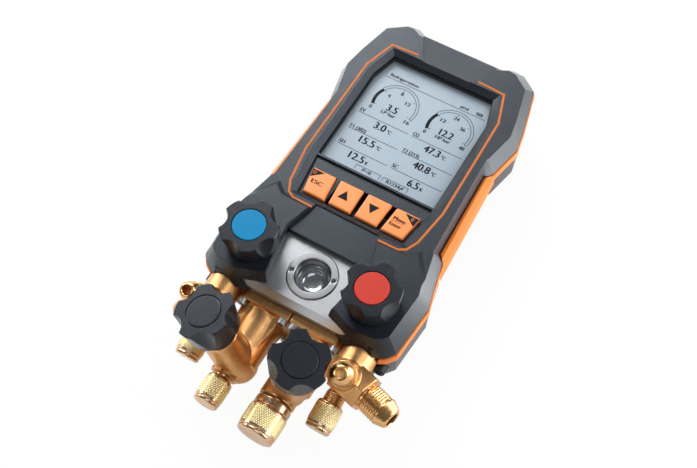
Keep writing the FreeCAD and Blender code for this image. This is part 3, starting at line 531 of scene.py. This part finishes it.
def sleeve_tree(kind):
    """Node group for a turned sleeve about Z that carries a thread or a crossed knurl"""
    tree = bpy.data.node_groups.new(kind + " sleeve", "GeometryNodeTree")
    tree.interface.new_socket("Geometry", in_out="OUTPUT", socket_type="NodeSocketGeometry")
    for name in ("Radius", "Length", "Depth", "Pitch"):
        tree.interface.new_socket(name, in_out="INPUT", socket_type="NodeSocketFloat")
    for name in ("Columns", "Rows"):
        tree.interface.new_socket(name, in_out="INPUT", socket_type="NodeSocketInt")
    tree.interface.new_socket("Finish", in_out="INPUT", socket_type="NodeSocketMaterial")
    given = tree.nodes.new("NodeGroupInput")
    radius, length, depth, pitch, columns, rows, finish = (Value(tree, socket) for socket in given.outputs[:7])
    grid = add_node(tree, "GeometryNodeMeshGrid", 1.0, 1.0, columns, rows)
    across, along = add_node(tree, "GeometryNodeInputPosition").plan()
    turn = across + 0.5
    height = (along + 0.5) * length
    if kind == "thread":
        relief = (height / pitch - turn + WHOLE_TURNS).ridge()
    else:
        count = (radius * (2 * math.pi) / pitch).math("ROUND")
        slope = height / pitch / KNURL_SLANT
        falling = (turn * count - slope + WHOLE_TURNS).ridge()
        relief = (turn * count + slope).ridge().math("MINIMUM", falling) * KNURL_CREST
    fade = ((height / pitch) * END_SLOPE).clamped() * (((length - height) / pitch) * END_SLOPE).clamped()
    far = radius - depth * (1.0 - relief.clamped() * fade)
    angle = turn * (2 * math.pi)
    place = add_node(tree, "ShaderNodeCombineXYZ", far * angle.math("COSINE"), far * angle.math("SINE"), height)
    moved = add_node(tree, "GeometryNodeSetPosition", grid, Position=place)
    merged = add_node(tree, "GeometryNodeMergeByDistance", moved, Distance=0.001 * MM)
    even = add_node(tree, "GeometryNodeSetShadeSmooth", merged)
    real = add_node(tree, "GeometryNodeRealizeInstances", even)
    done = add_node(tree, "GeometryNodeSetMaterial", real, Material=finish)
    connect(tree, done, tree.nodes.new("NodeGroupOutput").inputs[0])
    return tree


def sleeve(name, kind, body, finish, slot, place, **values):
    """A threaded or knurled sleeve set on its fitting, with rows and columns enough for its pitch"""
    if kind not in TREES:
        TREES[kind] = sleeve_tree(kind)
    tree = TREES[kind]
    thing = linked("work", bpy.data.meshes.new("work"))
    modifier = thing.modifiers.new("Sleeve", "NODES")
    modifier.node_group = tree
    turns = values["Length"] / values["Pitch"]
    ridges = int(round(2 * math.pi * values["Radius"] / values["Pitch"]))
    around, rows_per_turn = (LATHE_STEPS, 10) if kind == "thread" else (ridges * 6, 7)
    fine = {"Columns": around + 1, "Rows": int(turns * rows_per_turn) + 2, "Finish": FINISHES[finish]}
    for item in tree.interface.items_tree:
        if item.in_out == "INPUT":
            modifier[item.identifier] = {**values, **fine}[item.name]
    mesh = taken(thing)
    mesh.transform(place)
    piece(name, mesh, body, finish)


# Print
def drawn(marks):
    """The faces of a list of (print function, its values)"""
    work = bmesh.new()
    for draw, *values in marks:
        draw(work, *values)
    return work


def glyphs(text):
    """Flat mesh of a line of text at the font's own size"""
    curve = bpy.data.curves.new("lettering", "FONT")
    curve.body = text
    return taken(linked("work", curve))


def span(mesh, axis):
    """Lowest and highest place along an axis"""
    places = [vertex.co[axis] for vertex in mesh.vertices]
    return min(places), max(places)


# The print functions add flat faces to the work, with places and sizes in millimetres
STRIKES = 3
ARC_STEP = 4.0


def print_text(work, text, x0, x1, y, height, weight=0.13):
    """Fits a word between x0 and x1, its capitals as high as asked, struck side by side for its weight"""
    mesh = glyphs(text)
    low, high = span(mesh, 0)
    capital = span(glyphs("H"), 1)
    wide = (x1 - x0 - (STRIKES - 1) * weight) / (high - low)
    place = Matrix.Diagonal((wide * MM, height / (capital[1] - capital[0]) * MM, 1.0, 1.0))
    mesh.transform(Matrix.Translation((x0 * MM, y * MM, 0)) @ place @ Matrix.Translation((-low, -capital[0], 0)))
    for _ in range(STRIKES):
        work.from_mesh(mesh)
        mesh.transform(Matrix.Translation((weight * MM, 0, 0)))


def print_polygon(work, points):
    work.faces.new([work.verts.new((x * MM, y * MM, 0)) for x, y in points])


def print_line(work, start, end, width):
    across = Vector((start[1] - end[1], end[0] - start[0])).normalized() * width / 2
    print_polygon(work, [(start[0] - across.x, start[1] - across.y), (end[0] - across.x, end[1] - across.y),
                         (end[0] + across.x, end[1] + across.y), (start[0] + across.x, start[1] + across.y)])


def print_arc(work, centre, radius, width, first, last):
    """Part of a ring between two angles in degrees"""
    steps = max(6, int(abs(last - first) / ARC_STEP))
    for i in range(steps):
        a, b = (math.radians(first + (last - first) * k / steps) for k in (i, i + 1))
        inner, outer = radius - width / 2, radius + width / 2
        print_polygon(work, [(centre[0] + r * math.cos(t), centre[1] + r * math.sin(t))
                             for r, t in ((inner, a), (outer, a), (outer, b), (inner, b))])


def print_box(work, x0, x1, y0, y1, width, closed=True):
    corners = [(x0, y0), (x0, y1), (x1, y1), (x1, y0)]
    for start, end in zip(corners, corners[1:] + ([corners[0]] if closed else [])):
        print_line(work, start, end, width)


def printed(name, work, height, body, finish):
    """The print as a piece at a height, all its faces upwards"""
    bmesh.ops.triangulate(work, faces=work.faces)
    for face in work.faces:
        face.normal_update()
        if face.normal.z < 0:
            face.normal_flip()
    mesh = written(work, name)
    mesh.transform(Matrix.Translation((0, 0, height)))
    piece(name, mesh, body, finish)


# Stage
class GAUGE_OT_stage(Operator):
    """Camera, lamps, floor and world"""
    bl_idname = "gauge.stage"
    bl_label = "Stage"

    def execute(self, context):
        stage = context.scene.gauge_stage
        camera = linked("camera", bpy.data.cameras.new("camera"))
        camera.data.lens = stage.focal_length
        camera.data.sensor_width = SENSOR_WIDTH
        camera.matrix_world = Matrix.Translation(Vector(stage.camera_place)) @ view_turn(stage).to_4x4()
        context.scene.camera = camera
        floor = linked("floor", floor_mesh(stage.floor_size))
        floor.data.materials.append(floor_finish())
        for name, place, size, power in LAMPS:
            lamp = bpy.data.lights.new(name, "AREA")
            lamp.shape = "RECTANGLE"
            lamp.size, lamp.size_y = size
            lamp.energy = power
            thing = linked(name, lamp)
            thing.location = place
            thing.rotation_euler = (Vector(LAMP_TARGET) - Vector(place)).to_track_quat("-Z", "Y").to_euler()
        context.scene.world = world_light(stage.world_level)
        context.scene.view_settings.view_transform = "Standard"
        return {"FINISHED"}


SENSOR_WIDTH = 36.0
LAMP_TARGET = (0, -0.01, 0.04)
# Name, place, width and height in metres, and power in watts
LAMPS = (
    ("back_lamp", (-0.80, 0.78, 1.00), (0.65, 0.65), 15.0),
    ("bezel_lamp", (0.75, 0.65, 1.00), (0.5, 0.5), 5.0),
    ("left_lamp", (-1.25, 0.25, 0.55), (0.7, 0.5), 8.0),
    ("side_lamp", (1.15, 0.45, 0.30), (0.9, 0.55), 12.0),
    ("front_lamp", (-0.45, -1.25, 0.75), (0.9, 0.6), 4.0),
    ("far_lamp", (-0.40, 1.15, 0.75), (1.0, 0.5), 7.0),
    ("top_lamp", (0.45, -0.35, 1.6), (0.8, 0.8), 3.5),
)


def view_turn(stage):
    """Turn of the camera from its azimuth, elevation and roll"""
    a, e, r = stage.azimuth, stage.elevation, stage.roll
    right = Vector((math.cos(a), math.sin(a), 0))
    up = Vector((-math.sin(a) * math.sin(e), math.cos(a) * math.sin(e), math.cos(e)))
    back = right.cross(up)
    across = right * math.cos(r) + up * math.sin(r)
    upward = up * math.cos(r) - right * math.sin(r)
    return Matrix((across, upward, back)).transposed()


def floor_mesh(size):
    work = bmesh.new()
    bmesh.ops.create_grid(work, x_segments=8, y_segments=8, size=size / 2)
    return written(work, "floor")


# How white the floor is to the camera and through clear pieces
WHITE_SEEN, WHITE_THROUGH = 0.94, 0.5
# Mirrored in the gauge, the floor glows in a patch at its right: strength, share inside and outside of the patch
GLOW_STRENGTH, GLOW_INSIDE, GLOW_OUTSIDE = 14.0, 0.9, 0.012
# Where the patch starts, dims to half and ends along X and Y, each as (place, softness) in millimetres
GLOW_LEFT, GLOW_RIGHT = (118.0, 60.0), (230.0, 60.0)
GLOW_FRONT, GLOW_HALF, GLOW_BACK = (-15.0, 30.0), (70.0, 60.0), (150.0, 40.0)


def floor_finish():
    """White to the camera, grey to the lamps, and with a glowing patch that only reflections show"""
    finish = Finish("floor", (0.92, 0.92, 0.92), 0.9)
    seen, mirrored, through = rays(finish.tree, "Camera", "Glossy", "Transmission")
    surface = Value(finish.tree, finish.surface.outputs[0])
    white = (seen * WHITE_SEEN + through * WHITE_THROUGH).clamped()
    plain = finish.node("ShaderNodeMixShader", white, surface, finish.node("ShaderNodeEmission"))
    x, y = finish.place().plan()
    patch = y.above(*GLOW_FRONT) * x.above(*GLOW_LEFT) * (1.0 - y.above(*GLOW_HALF) * 0.5)
    patch = patch * (1.0 - y.above(*GLOW_BACK)) * (1.0 - x.above(*GLOW_RIGHT))
    share = (mirrored * (patch * GLOW_INSIDE + GLOW_OUTSIDE)).clamped()
    glow = finish.node("ShaderNodeEmission", Strength=GLOW_STRENGTH)
    lit = finish.node("ShaderNodeMixShader", share, plain, glow)
    connect(finish.tree, lit, finish.tree.nodes["Material Output"].inputs["Surface"])
    return finish.material


def rays(tree, *kinds):
    """1 for a ray of that kind, for each kind"""
    return [add_node(tree, "ShaderNodeLightPath", output=f"Is {kind} Ray") for kind in kinds]


def world_light(level):
    """Even light at a level, and plain white to the camera"""
    world = bpy.data.worlds.new("studio")
    world.use_nodes = True
    tree = world.node_tree
    background = tree.nodes["Background"]
    seen, through = rays(tree, "Camera", "Transmission")
    connect(tree, (seen + through).clamped() * (1.0 - level) + level, background.inputs["Strength"])
    connect(tree, (1.0, 1.0, 1.0, 1.0), background.inputs["Color"])
    return world


# Housing
class GAUGE_OT_housing(Operator):
    """Shells, seam band, grips, orange lines and battery cover"""
    bl_idname = "gauge.housing"
    bl_label = "Housing"

    def execute(self, context):
        edge = context.scene.gauge.shell_edge
        softened("front_shell", "shell", edge)
        softened("rear_shell", "shell", edge)
        softened("seam_band", "orange", 0.3 * MM)
        for side in SIDES:
            softened("grip_pad_" + side, "grip", 0.7 * MM, segments=3)
            softened("trim_line_" + side, "trim", 0.2 * MM)
            softened("probe_socket_" + side, "rubber", 0.4 * MM)
        softened("battery_cover", "shell", 0.3 * MM)
        softened("hanging_hook", "shell", 0.4 * MM)
        softened("hook_pin", "steel", 0.2 * MM)
        softened("case_screws", "steel", 0.15 * MM)
        painted("battery_cells", "sleeve")
        painted("battery_contacts", "steel")
        return {"FINISHED"}


class GAUGE_OT_display(Operator):
    """Window, display panel and board"""
    bl_idname = "gauge.display"
    bl_label = "Display"

    def execute(self, context):
        painted("display_window", "window")
        painted("display_frame", "mask")
        painted("lcd_panel", "lcd")
        painted("circuit_board", "board")
        painted("keypad_mat", "silicone")
        height = surface_top("lcd_panel") + context.scene.gauge.print_height
        marks = [(print_text, *row) for row in READINGS] + [(print_dial, *dial) for dial in DIALS]
        marks += [(print_line, (x0, y), (x1, y), RULE_WIDTH) for x0, x1, y in RULES]
        printed("display_segments", drawn((*marks, *DISPLAY_SIGNS)), height, ROOT, "ink")
        return {"FINISHED"}


def surface_top(node):
    """Highest place of a node"""
    return max(vertex.co.z for vertex in frame["nodes"][node].data.vertices)


# Text, left and right end, baseline, height of capitals, thickening
READINGS = (
    ("Refrigeration", -28.0, -10.2, 64.8, 1.9), ("prel", 16.2, 21.0, 64.8, 1.9),
    ("3.5", -19.0, -12.4, 43.6, 4.2, 0.2), ("LP bar", -20.6, -11.7, 40.8, 2.1),
    ("12.2", 13.9, 22.2, 43.6, 4.2, 0.2), ("HP bar", 13.2, 22.4, 40.8, 2.1),
    ("EV", -31.3, -28.2, 36.5, 2.3), ("CO", 2.1, 5.6, 36.5, 2.3),
    ("3.0", -19.3, -12.2, 30.3, 4.3, 0.2), ("\u00b0C", -11.2, -8.4, 30.5, 2.2),
    ("47.3", 11.7, 21.4, 30.3, 4.3, 0.2), ("\u00b0C", 22.4, 25.2, 30.5, 2.2),
    ("T1 (302)", -31.4, -20.9, 24.8, 2.2), ("T2 (213)", 1.9, 12.2, 24.8, 2.2),
    ("15.5", -21.9, -12.4, 18.6, 4.3, 0.2), ("\u00b0C", -11.2, -8.4, 18.8, 2.2),
    ("40.8", 11.6, 21.7, 18.6, 4.3, 0.2), ("\u00b0C", 22.7, 25.5, 18.8, 2.2),
    ("SH", -31.3, -27.6, 13.7, 2.3), ("SC", 2.0, 5.4, 13.7, 2.3),
    ("12.5", -21.9, -12.4, 7.3, 4.3, 0.2), ("K", -11.4, -9.7, 7.5, 2.2),
    ("6.5", 14.6, 21.2, 7.3, 4.3, 0.2), ("K", 22.2, 24.0, 7.5, 2.2),
    ("P=0", -10.6, -5.2, 3.2, 2.0), ("R1234yf", 4.2, 14.8, 3.2, 2.0),
)
RULE_WIDTH = 0.32
# Left end, right end and height of every rule
RULES = ((-30.0, 32.0, 63.5), (-31.4, -0.2, 35.8), (2.0, 33.0, 35.8), (-31.4, -0.2, 24.3), (2.0, 33.0, 24.3),
         (-31.4, -0.2, 12.8), (2.0, 33.0, 12.8))
# Battery sign, and the open frames of the two fields at the bottom
DISPLAY_SIGNS = (
    (print_box, 26.0, 29.4, 64.7, 66.5, RULE_WIDTH),
    (print_polygon, ((29.6, 65.2), (30.0, 65.2), (30.0, 66.0), (29.6, 66.0))),
    (print_polygon, ((26.4, 65.0), (27.1, 65.0), (27.1, 66.2), (26.4, 66.2))),
    (print_polygon, ((27.4, 65.0), (28.1, 65.0), (28.1, 66.2), (27.4, 66.2))),
    (print_polygon, ((28.4, 65.0), (29.1, 65.0), (29.1, 66.2), (28.4, 66.2))),
    (print_box, -14.9, -0.1, 2.8, 5.8, RULE_WIDTH, False),
    (print_box, 1.8, 17.0, 2.8, 5.8, RULE_WIDTH, False),
)
# Centre of each dial and its numbers, and where each number stands from the centre
DIALS = ((-15.8, 48.4, ("0", "4", "8", "12", "16")), (18.25, 48.4, ("0", "12", "24", "36", "48")))
DIAL_LABELS = ((-11.6, -6.6), (-5.9, 4.3), (0.0, 8.8), (6.0, 4.3), (11.2, -6.6))
# Angles in degrees where a dial starts, where its filled part ends, and where it ends
DIAL_START, DIAL_READING, DIAL_END = 201.0, 148.0, -19.0
DIAL_INNER, DIAL_OUTER = 11.9, 13.45
FILLED_RADIUS, FILLED_WIDTH = 12.35, 1.9
TICK_INNER, TICK_OUTER = 10.3, 11.3
DIGIT_WIDTH, DIGIT_HEIGHT = 1.64, 2.2


def print_dial(work, x, y, labels):
    """A scale with its filled part at the left, a tick for each number, and the numbers inside"""
    print_arc(work, (x, y), FILLED_RADIUS, FILLED_WIDTH, DIAL_START, DIAL_READING)
    for radius in (DIAL_OUTER, DIAL_INNER):
        print_arc(work, (x, y), radius, RULE_WIDTH, DIAL_READING, DIAL_END)
    print_line(work, polar(x, y, DIAL_INNER, DIAL_END), polar(x, y, DIAL_OUTER, DIAL_END), RULE_WIDTH)
    for k in range(len(labels)):
        angle = DIAL_START + (DIAL_END - DIAL_START) * k / (len(labels) - 1)
        print_line(work, polar(x, y, TICK_INNER, angle), polar(x, y, TICK_OUTER, angle), RULE_WIDTH)
    for label, (dx, dy) in zip(labels, DIAL_LABELS):
        half = DIGIT_WIDTH * len(label) / 2
        print_text(work, label, x + dx - half, x + dx + half, y + dy - DIGIT_HEIGHT / 2, DIGIT_HEIGHT)


def polar(x, y, radius, angle):
    """The point at a radius and an angle in degrees from a centre"""
    return (x + radius * math.cos(math.radians(angle)), y + radius * math.sin(math.radians(angle)))


class GAUGE_OT_keys(Operator):
    """Keys with their legends"""
    bl_idname = "gauge.keys"
    bl_label = "Keys"

    def execute(self, context):
        lift = context.scene.gauge.print_height
        for key, (legend, sign) in KEY_PRINT.items():
            softened(key, "key", 0.7 * MM, segments=3)
            height = surface_top(key) + lift
            printed(key + "_legend", drawn(legend), height, BODY_OF[key], "ink")
            if sign:
                printed(key + "_sign", drawn(sign), height + lift, BODY_OF[key], "pale_ink")
        return {"FINISHED"}


KEY_WEIGHT = 0.14
# Every key with its dark legend, and the pale sign on the legend's corner
KEY_PRINT = {
    "key_escape": (
        ((print_text, "ESC", -29.4, -22.5, -17.8, 2.4, KEY_WEIGHT),
         (print_polygon, ((-32.3, -9.8), (-24.9, -9.8), (-31.3, -15.0)))),
        ((print_arc, (-30.3, -11.6), 0.85, 0.22, 125.0, 415.0),
         (print_line, (-30.3, -11.4), (-30.3, -10.2), 0.22))),
    "key_up": (((print_polygon, ((-12.2, -18.7), (-6.1, -18.7), (-9.15, -13.2))),), ()),
    "key_down": (((print_polygon, ((4.7, -13.8), (10.9, -13.8), (7.8, -19.2))),), ()),
    "key_menu": (
        ((print_text, "Menu", 20.0, 27.0, -16.1, 2.3, KEY_WEIGHT),
         (print_line, (19.6, -16.8), (26.9, -16.8), 0.2),
         (print_text, "Enter", 19.6, 26.5, -19.7, 2.1, KEY_WEIGHT),
         (print_polygon, ((32.3, -9.8), (24.2, -9.8), (31.3, -15.0)))),
        ((print_arc, (29.3, -11.3), 0.65, 0.22, 0.0, 360.0),
         (print_line, (28.9, -12.5), (29.7, -12.5), 0.3))),
}


class GAUGE_OT_block(Operator):
    """Valve block, sight glass and sensors"""
    bl_idname = "gauge.block"
    bl_label = "Valve block"

    def execute(self, context):
        softened("valve_block", "block", 0.3 * MM)
        softened("sight_glass_ring", "ring", 0.2 * MM)
        painted("sight_glass_seal", "rubber")
        for side in SIDES:
            painted("pressure_sensor_" + side, "steel")
        low, high = span(frame["nodes"]["sight_glass_lens"].data, 1)
        middle = Vector((0, (low + high) / 2, surface_top("sight_glass_lens")))
        place = Matrix.Translation(middle)
        sleeve("sight_glass_thread", "thread", ROOT, "ring", SLOT_OF["sight_glass_ring"],
               Matrix.Translation(middle + Vector((0, 0, RETAINER_TOP * MM))), **GLASS_THREAD)
        glass = lathe("sight_glass", [(r * MM, z * MM) for r, z in DISH], place)
        piece("sight_glass", glass, ROOT, "lens", ("sight_glass_lens",))
        retainer = lathe("retaining_ring", [(r * MM, z * MM) for r, z in RETAINER], place)
        piece("retaining_ring", retainer, ROOT, "steel")
        return {"FINISHED"}


# Thread inside the ring of the sight glass, above the retaining ring
GLASS_THREAD = {"Radius": 9.28 * MM, "Length": 4.4 * MM, "Depth": 0.35 * MM, "Pitch": 0.8 * MM}
# Outlines of the dished glass and of its retaining ring: radius and height from the lens's top in millimetres
DISH = ((0, -3.0), (10.6, -3.0), (10.6, 0), (7.2, 0), (6.9, -0.5), (6.2, -1.9), (5.4, -2.5), (3.0, -2.75), (0, -2.8))
RETAINER_TOP = 1.6
RETAINER = ((9.2, 0.02), (9.2, 1.3), (8.9, RETAINER_TOP), (7.9, RETAINER_TOP), (7.3, 1.0), (7.3, 0.02))


class GAUGE_OT_knobs(Operator):
    """Knobs with their discs, stems and glands"""
    bl_idname = "gauge.knobs"
    bl_label = "Knobs"

    def execute(self, context):
        for valve, disc_finish in VALVES.items():
            softened(valve + "_knob", "knob", 0.4 * MM, segments=3, angle=24.0)
            softened(valve + "_disc", disc_finish, 0.2 * MM)
            painted(valve + "_stem", "machined")
            softened(valve + "_gland", "machined", 0.3 * MM)
        return {"FINISHED"}


# Flares: thread, nose and bore radius, end of the thread and of the nose from the shoulder, and pitch
FLARE_SIZES = {
    kind: dict(zip(("thread", "nose", "bore", "length", "tip", "pitch"), (value * MM for value in values)))
    for kind, values in (("small", (5.56, 3.1, 2.4, 9.5, 14.1, 1.27)), ("side", (5.56, 3.1, 2.4, 15.0, 19.6, 1.27)),
                         ("large", (7.94, 4.8, 3.9, 12.5, 17.9, 1.411)))
}
# Where a mount's thread starts, how deep a flare is drilled, and how far round it a forging loses its vertices
THREAD_START, DRILL = 2.2 * MM, 13.0 * MM
THREAD_MARGIN, NOSE_MARGIN = 0.3 * MM, 0.2 * MM
# Shoulders of the capped flares in millimetres, and how far the side ones lean down
CASTING_FLARES = {"casting_left": ((-17.0, -126.6, 22.0), "small"), "casting_right": ((14.0, -124.8, 22.0), "large")}
SIDE_FLARE, SIDE_DROP = (39.6, -105.2, 26.1), math.radians(10.0)


def flare_places():
    """Shoulder point, direction and size of every flare by its node, the capped one first"""
    mounts = {mount["name"]: mount for mount in frame["record"]["mounts"]}
    found = {node: [(Vector(shoulder) * MM, Vector((0, -1, 0)), kind)]
             for node, (shoulder, kind) in CASTING_FLARES.items()}
    for side, sign in SIDES.items():
        across, along, height = SIDE_FLARE
        places = [(Vector((sign * across, along, height)) * MM,
                   Vector((0, -math.cos(SIDE_DROP), -math.sin(SIDE_DROP))), "side")]
        for name, kind in (("upper_flare_" + side, "small"), ("side_flare_" + side, "large")):
            if name in mounts:
                axis = Vector(mounts[name]["axis"])
                middle = (THREAD_START + FLARE_SIZES[kind]["length"]) / 2
                places.append((Vector(mounts[name]["pos_m"]) - axis * middle, axis, kind))
        found["side_fitting_" + side] = places
    return found


# Groove under a flare's thread and small chamfers, plain band at the thread's end, depth of the bore that shows
FLARE_STEP, FLARE_BAND, FLARE_BORE = 0.3 * MM, 1.5 * MM, 9.0 * MM
FLARE_THREAD_START = 1.7 * MM


def flare(name, node, face, axis, kind):
    """Machined flare: neck, thread, cone with a rounded nose, and its bore, whose walls and floor carry painted shade
    """
    size = FLARE_SIZES[kind]
    depth = bpy.context.scene.gauge.thread_depth
    core, crest = size["thread"] - depth, size["thread"] - 0.05 * MM
    length, tip, nose, bore = size["length"], size["tip"], size["nose"], size["bore"]
    band = length - FLARE_BAND
    profile = [(core, -0.4 * MM), (core - FLARE_STEP, FLARE_STEP), (core - FLARE_STEP, 1.3 * MM), (core, 1.8 * MM),
               (core, band - 0.4 * MM), (size["thread"] - 0.2 * MM, band), (crest, band + FLARE_STEP),
               (crest, length - FLARE_STEP), (size["thread"] - 0.3 * MM, length),
               (nose + 1.3 * MM, tip - 1.3 * MM), (nose + 0.8 * MM, tip - 0.6 * MM), (nose, tip - 0.05 * MM),
               (bore + 0.4 * MM, tip), (bore, tip - 0.4 * MM), (bore, tip - FLARE_BORE), (0, tip - FLARE_BORE)]
    place = aimed(face, axis)
    mesh = lathe(name, profile, place, painted_shade_rows=2)
    piece(name, mesh, ROOT, "machined")
    # The bore's walls and floor take the dark brown of painted shade
    mesh.materials.append(FINISHES["bore"])
    sleeve(name + "_thread", "thread", ROOT, "machined", SLOT_OF[node],
           place @ Matrix.Translation((0, 0, FLARE_THREAD_START)), Radius=size["thread"],
           Length=band - FLARE_THREAD_START, Depth=depth, Pitch=size["pitch"])


class GAUGE_OT_brass(Operator):
    """Castings, side fittings with their flares, and flange screws"""
    bl_idname = "gauge.brass"
    bl_label = "Brass"

    def execute(self, context):
        for node, flares in flare_places().items():
            forged(node, flares)
            for number, (face, axis, kind) in enumerate(flares, 1):
                flare(f"{node}_flare_{number}", node, face, axis, kind)
        softened("flange_screws", "steel", 0.2 * MM)
        return {"FINISHED"}


class GAUGE_OT_caps(Operator):
    """Port caps with their knurls and seals"""
    bl_idname = "gauge.caps"
    bl_label = "Port caps"

    def execute(self, context):
        settings = context.scene.gauge
        places = flare_places()
        for port, (holder, radius, first, last) in CAP_BANDS.items():
            node = port + "_cap"
            softened(node, "cap", 0.2 * MM)
            painted(port + "_cap_seal", "rubber")
            face, axis, _ = places[holder][0]
            sleeve(node + "_knurl", "knurl", BODY_OF[node], "knurl", SLOT_OF[node],
                   aimed(face, axis) @ Matrix.Translation((0, 0, first)), Radius=radius + 0.2 * MM,
                   Length=last - first, Depth=settings.knurl_depth, Pitch=settings.knurl_pitch)
        return {"FINISHED"}


# Fitting that carries the cap, radius of the cap, and both ends of its knurl from the shoulder
CAP_BANDS = {
    "low_side": ("side_fitting_left", 7.0 * MM, 8.6 * MM, 19.4 * MM),
    "refrigerant": ("casting_left", 7.0 * MM, 3.1 * MM, 13.9 * MM),
    "vacuum": ("casting_right", 10.3 * MM, 6.6 * MM, 17.6 * MM),
    "high_side": ("side_fitting_right", 7.0 * MM, 8.6 * MM, 19.4 * MM),
}


class GAUGE_PT_panel(Panel):
    """Buttons for every group of pieces"""
    bl_label = "Manifold gauge"
    bl_idname = "GAUGE_PT_panel"
    bl_space_type = "VIEW_3D"
    bl_region_type = "UI"
    bl_category = "Gauge"

    def draw(self, context):
        for operator in OPERATORS:
            self.layout.operator(operator.bl_idname)


OPERATORS = (GAUGE_OT_stage, GAUGE_OT_housing, GAUGE_OT_display, GAUGE_OT_keys, GAUGE_OT_block, GAUGE_OT_knobs,
             GAUGE_OT_brass, GAUGE_OT_caps)
CLASSES = (GaugeSettings, StageSettings, *OPERATORS, GAUGE_PT_panel)
BODY_OF = {node: body for body, nodes in frame["record"]["behaviour"]["bodies"].items() for node in nodes}
SLOT_OF = {part["node"]: part["material_slot"] for part in frame["record"]["subparts"]}
FINISHES = {}
TREES = {}


def register():
    for entry in CLASSES:
        bpy.utils.register_class(entry)
    bpy.types.Scene.gauge = PointerProperty(type=GaugeSettings)
    bpy.types.Scene.gauge_stage = PointerProperty(type=StageSettings)


def unregister():
    del bpy.types.Scene.gauge
    del bpy.types.Scene.gauge_stage
    for entry in reversed(CLASSES):
        bpy.utils.unregister_class(entry)


def main():
    register()
    FINISHES.update(finishes())
    for operator in OPERATORS:
        group, name = operator.bl_idname.split(".")
        getattr(getattr(bpy.ops, group), name)()


if __name__ == "__main__":
    main()
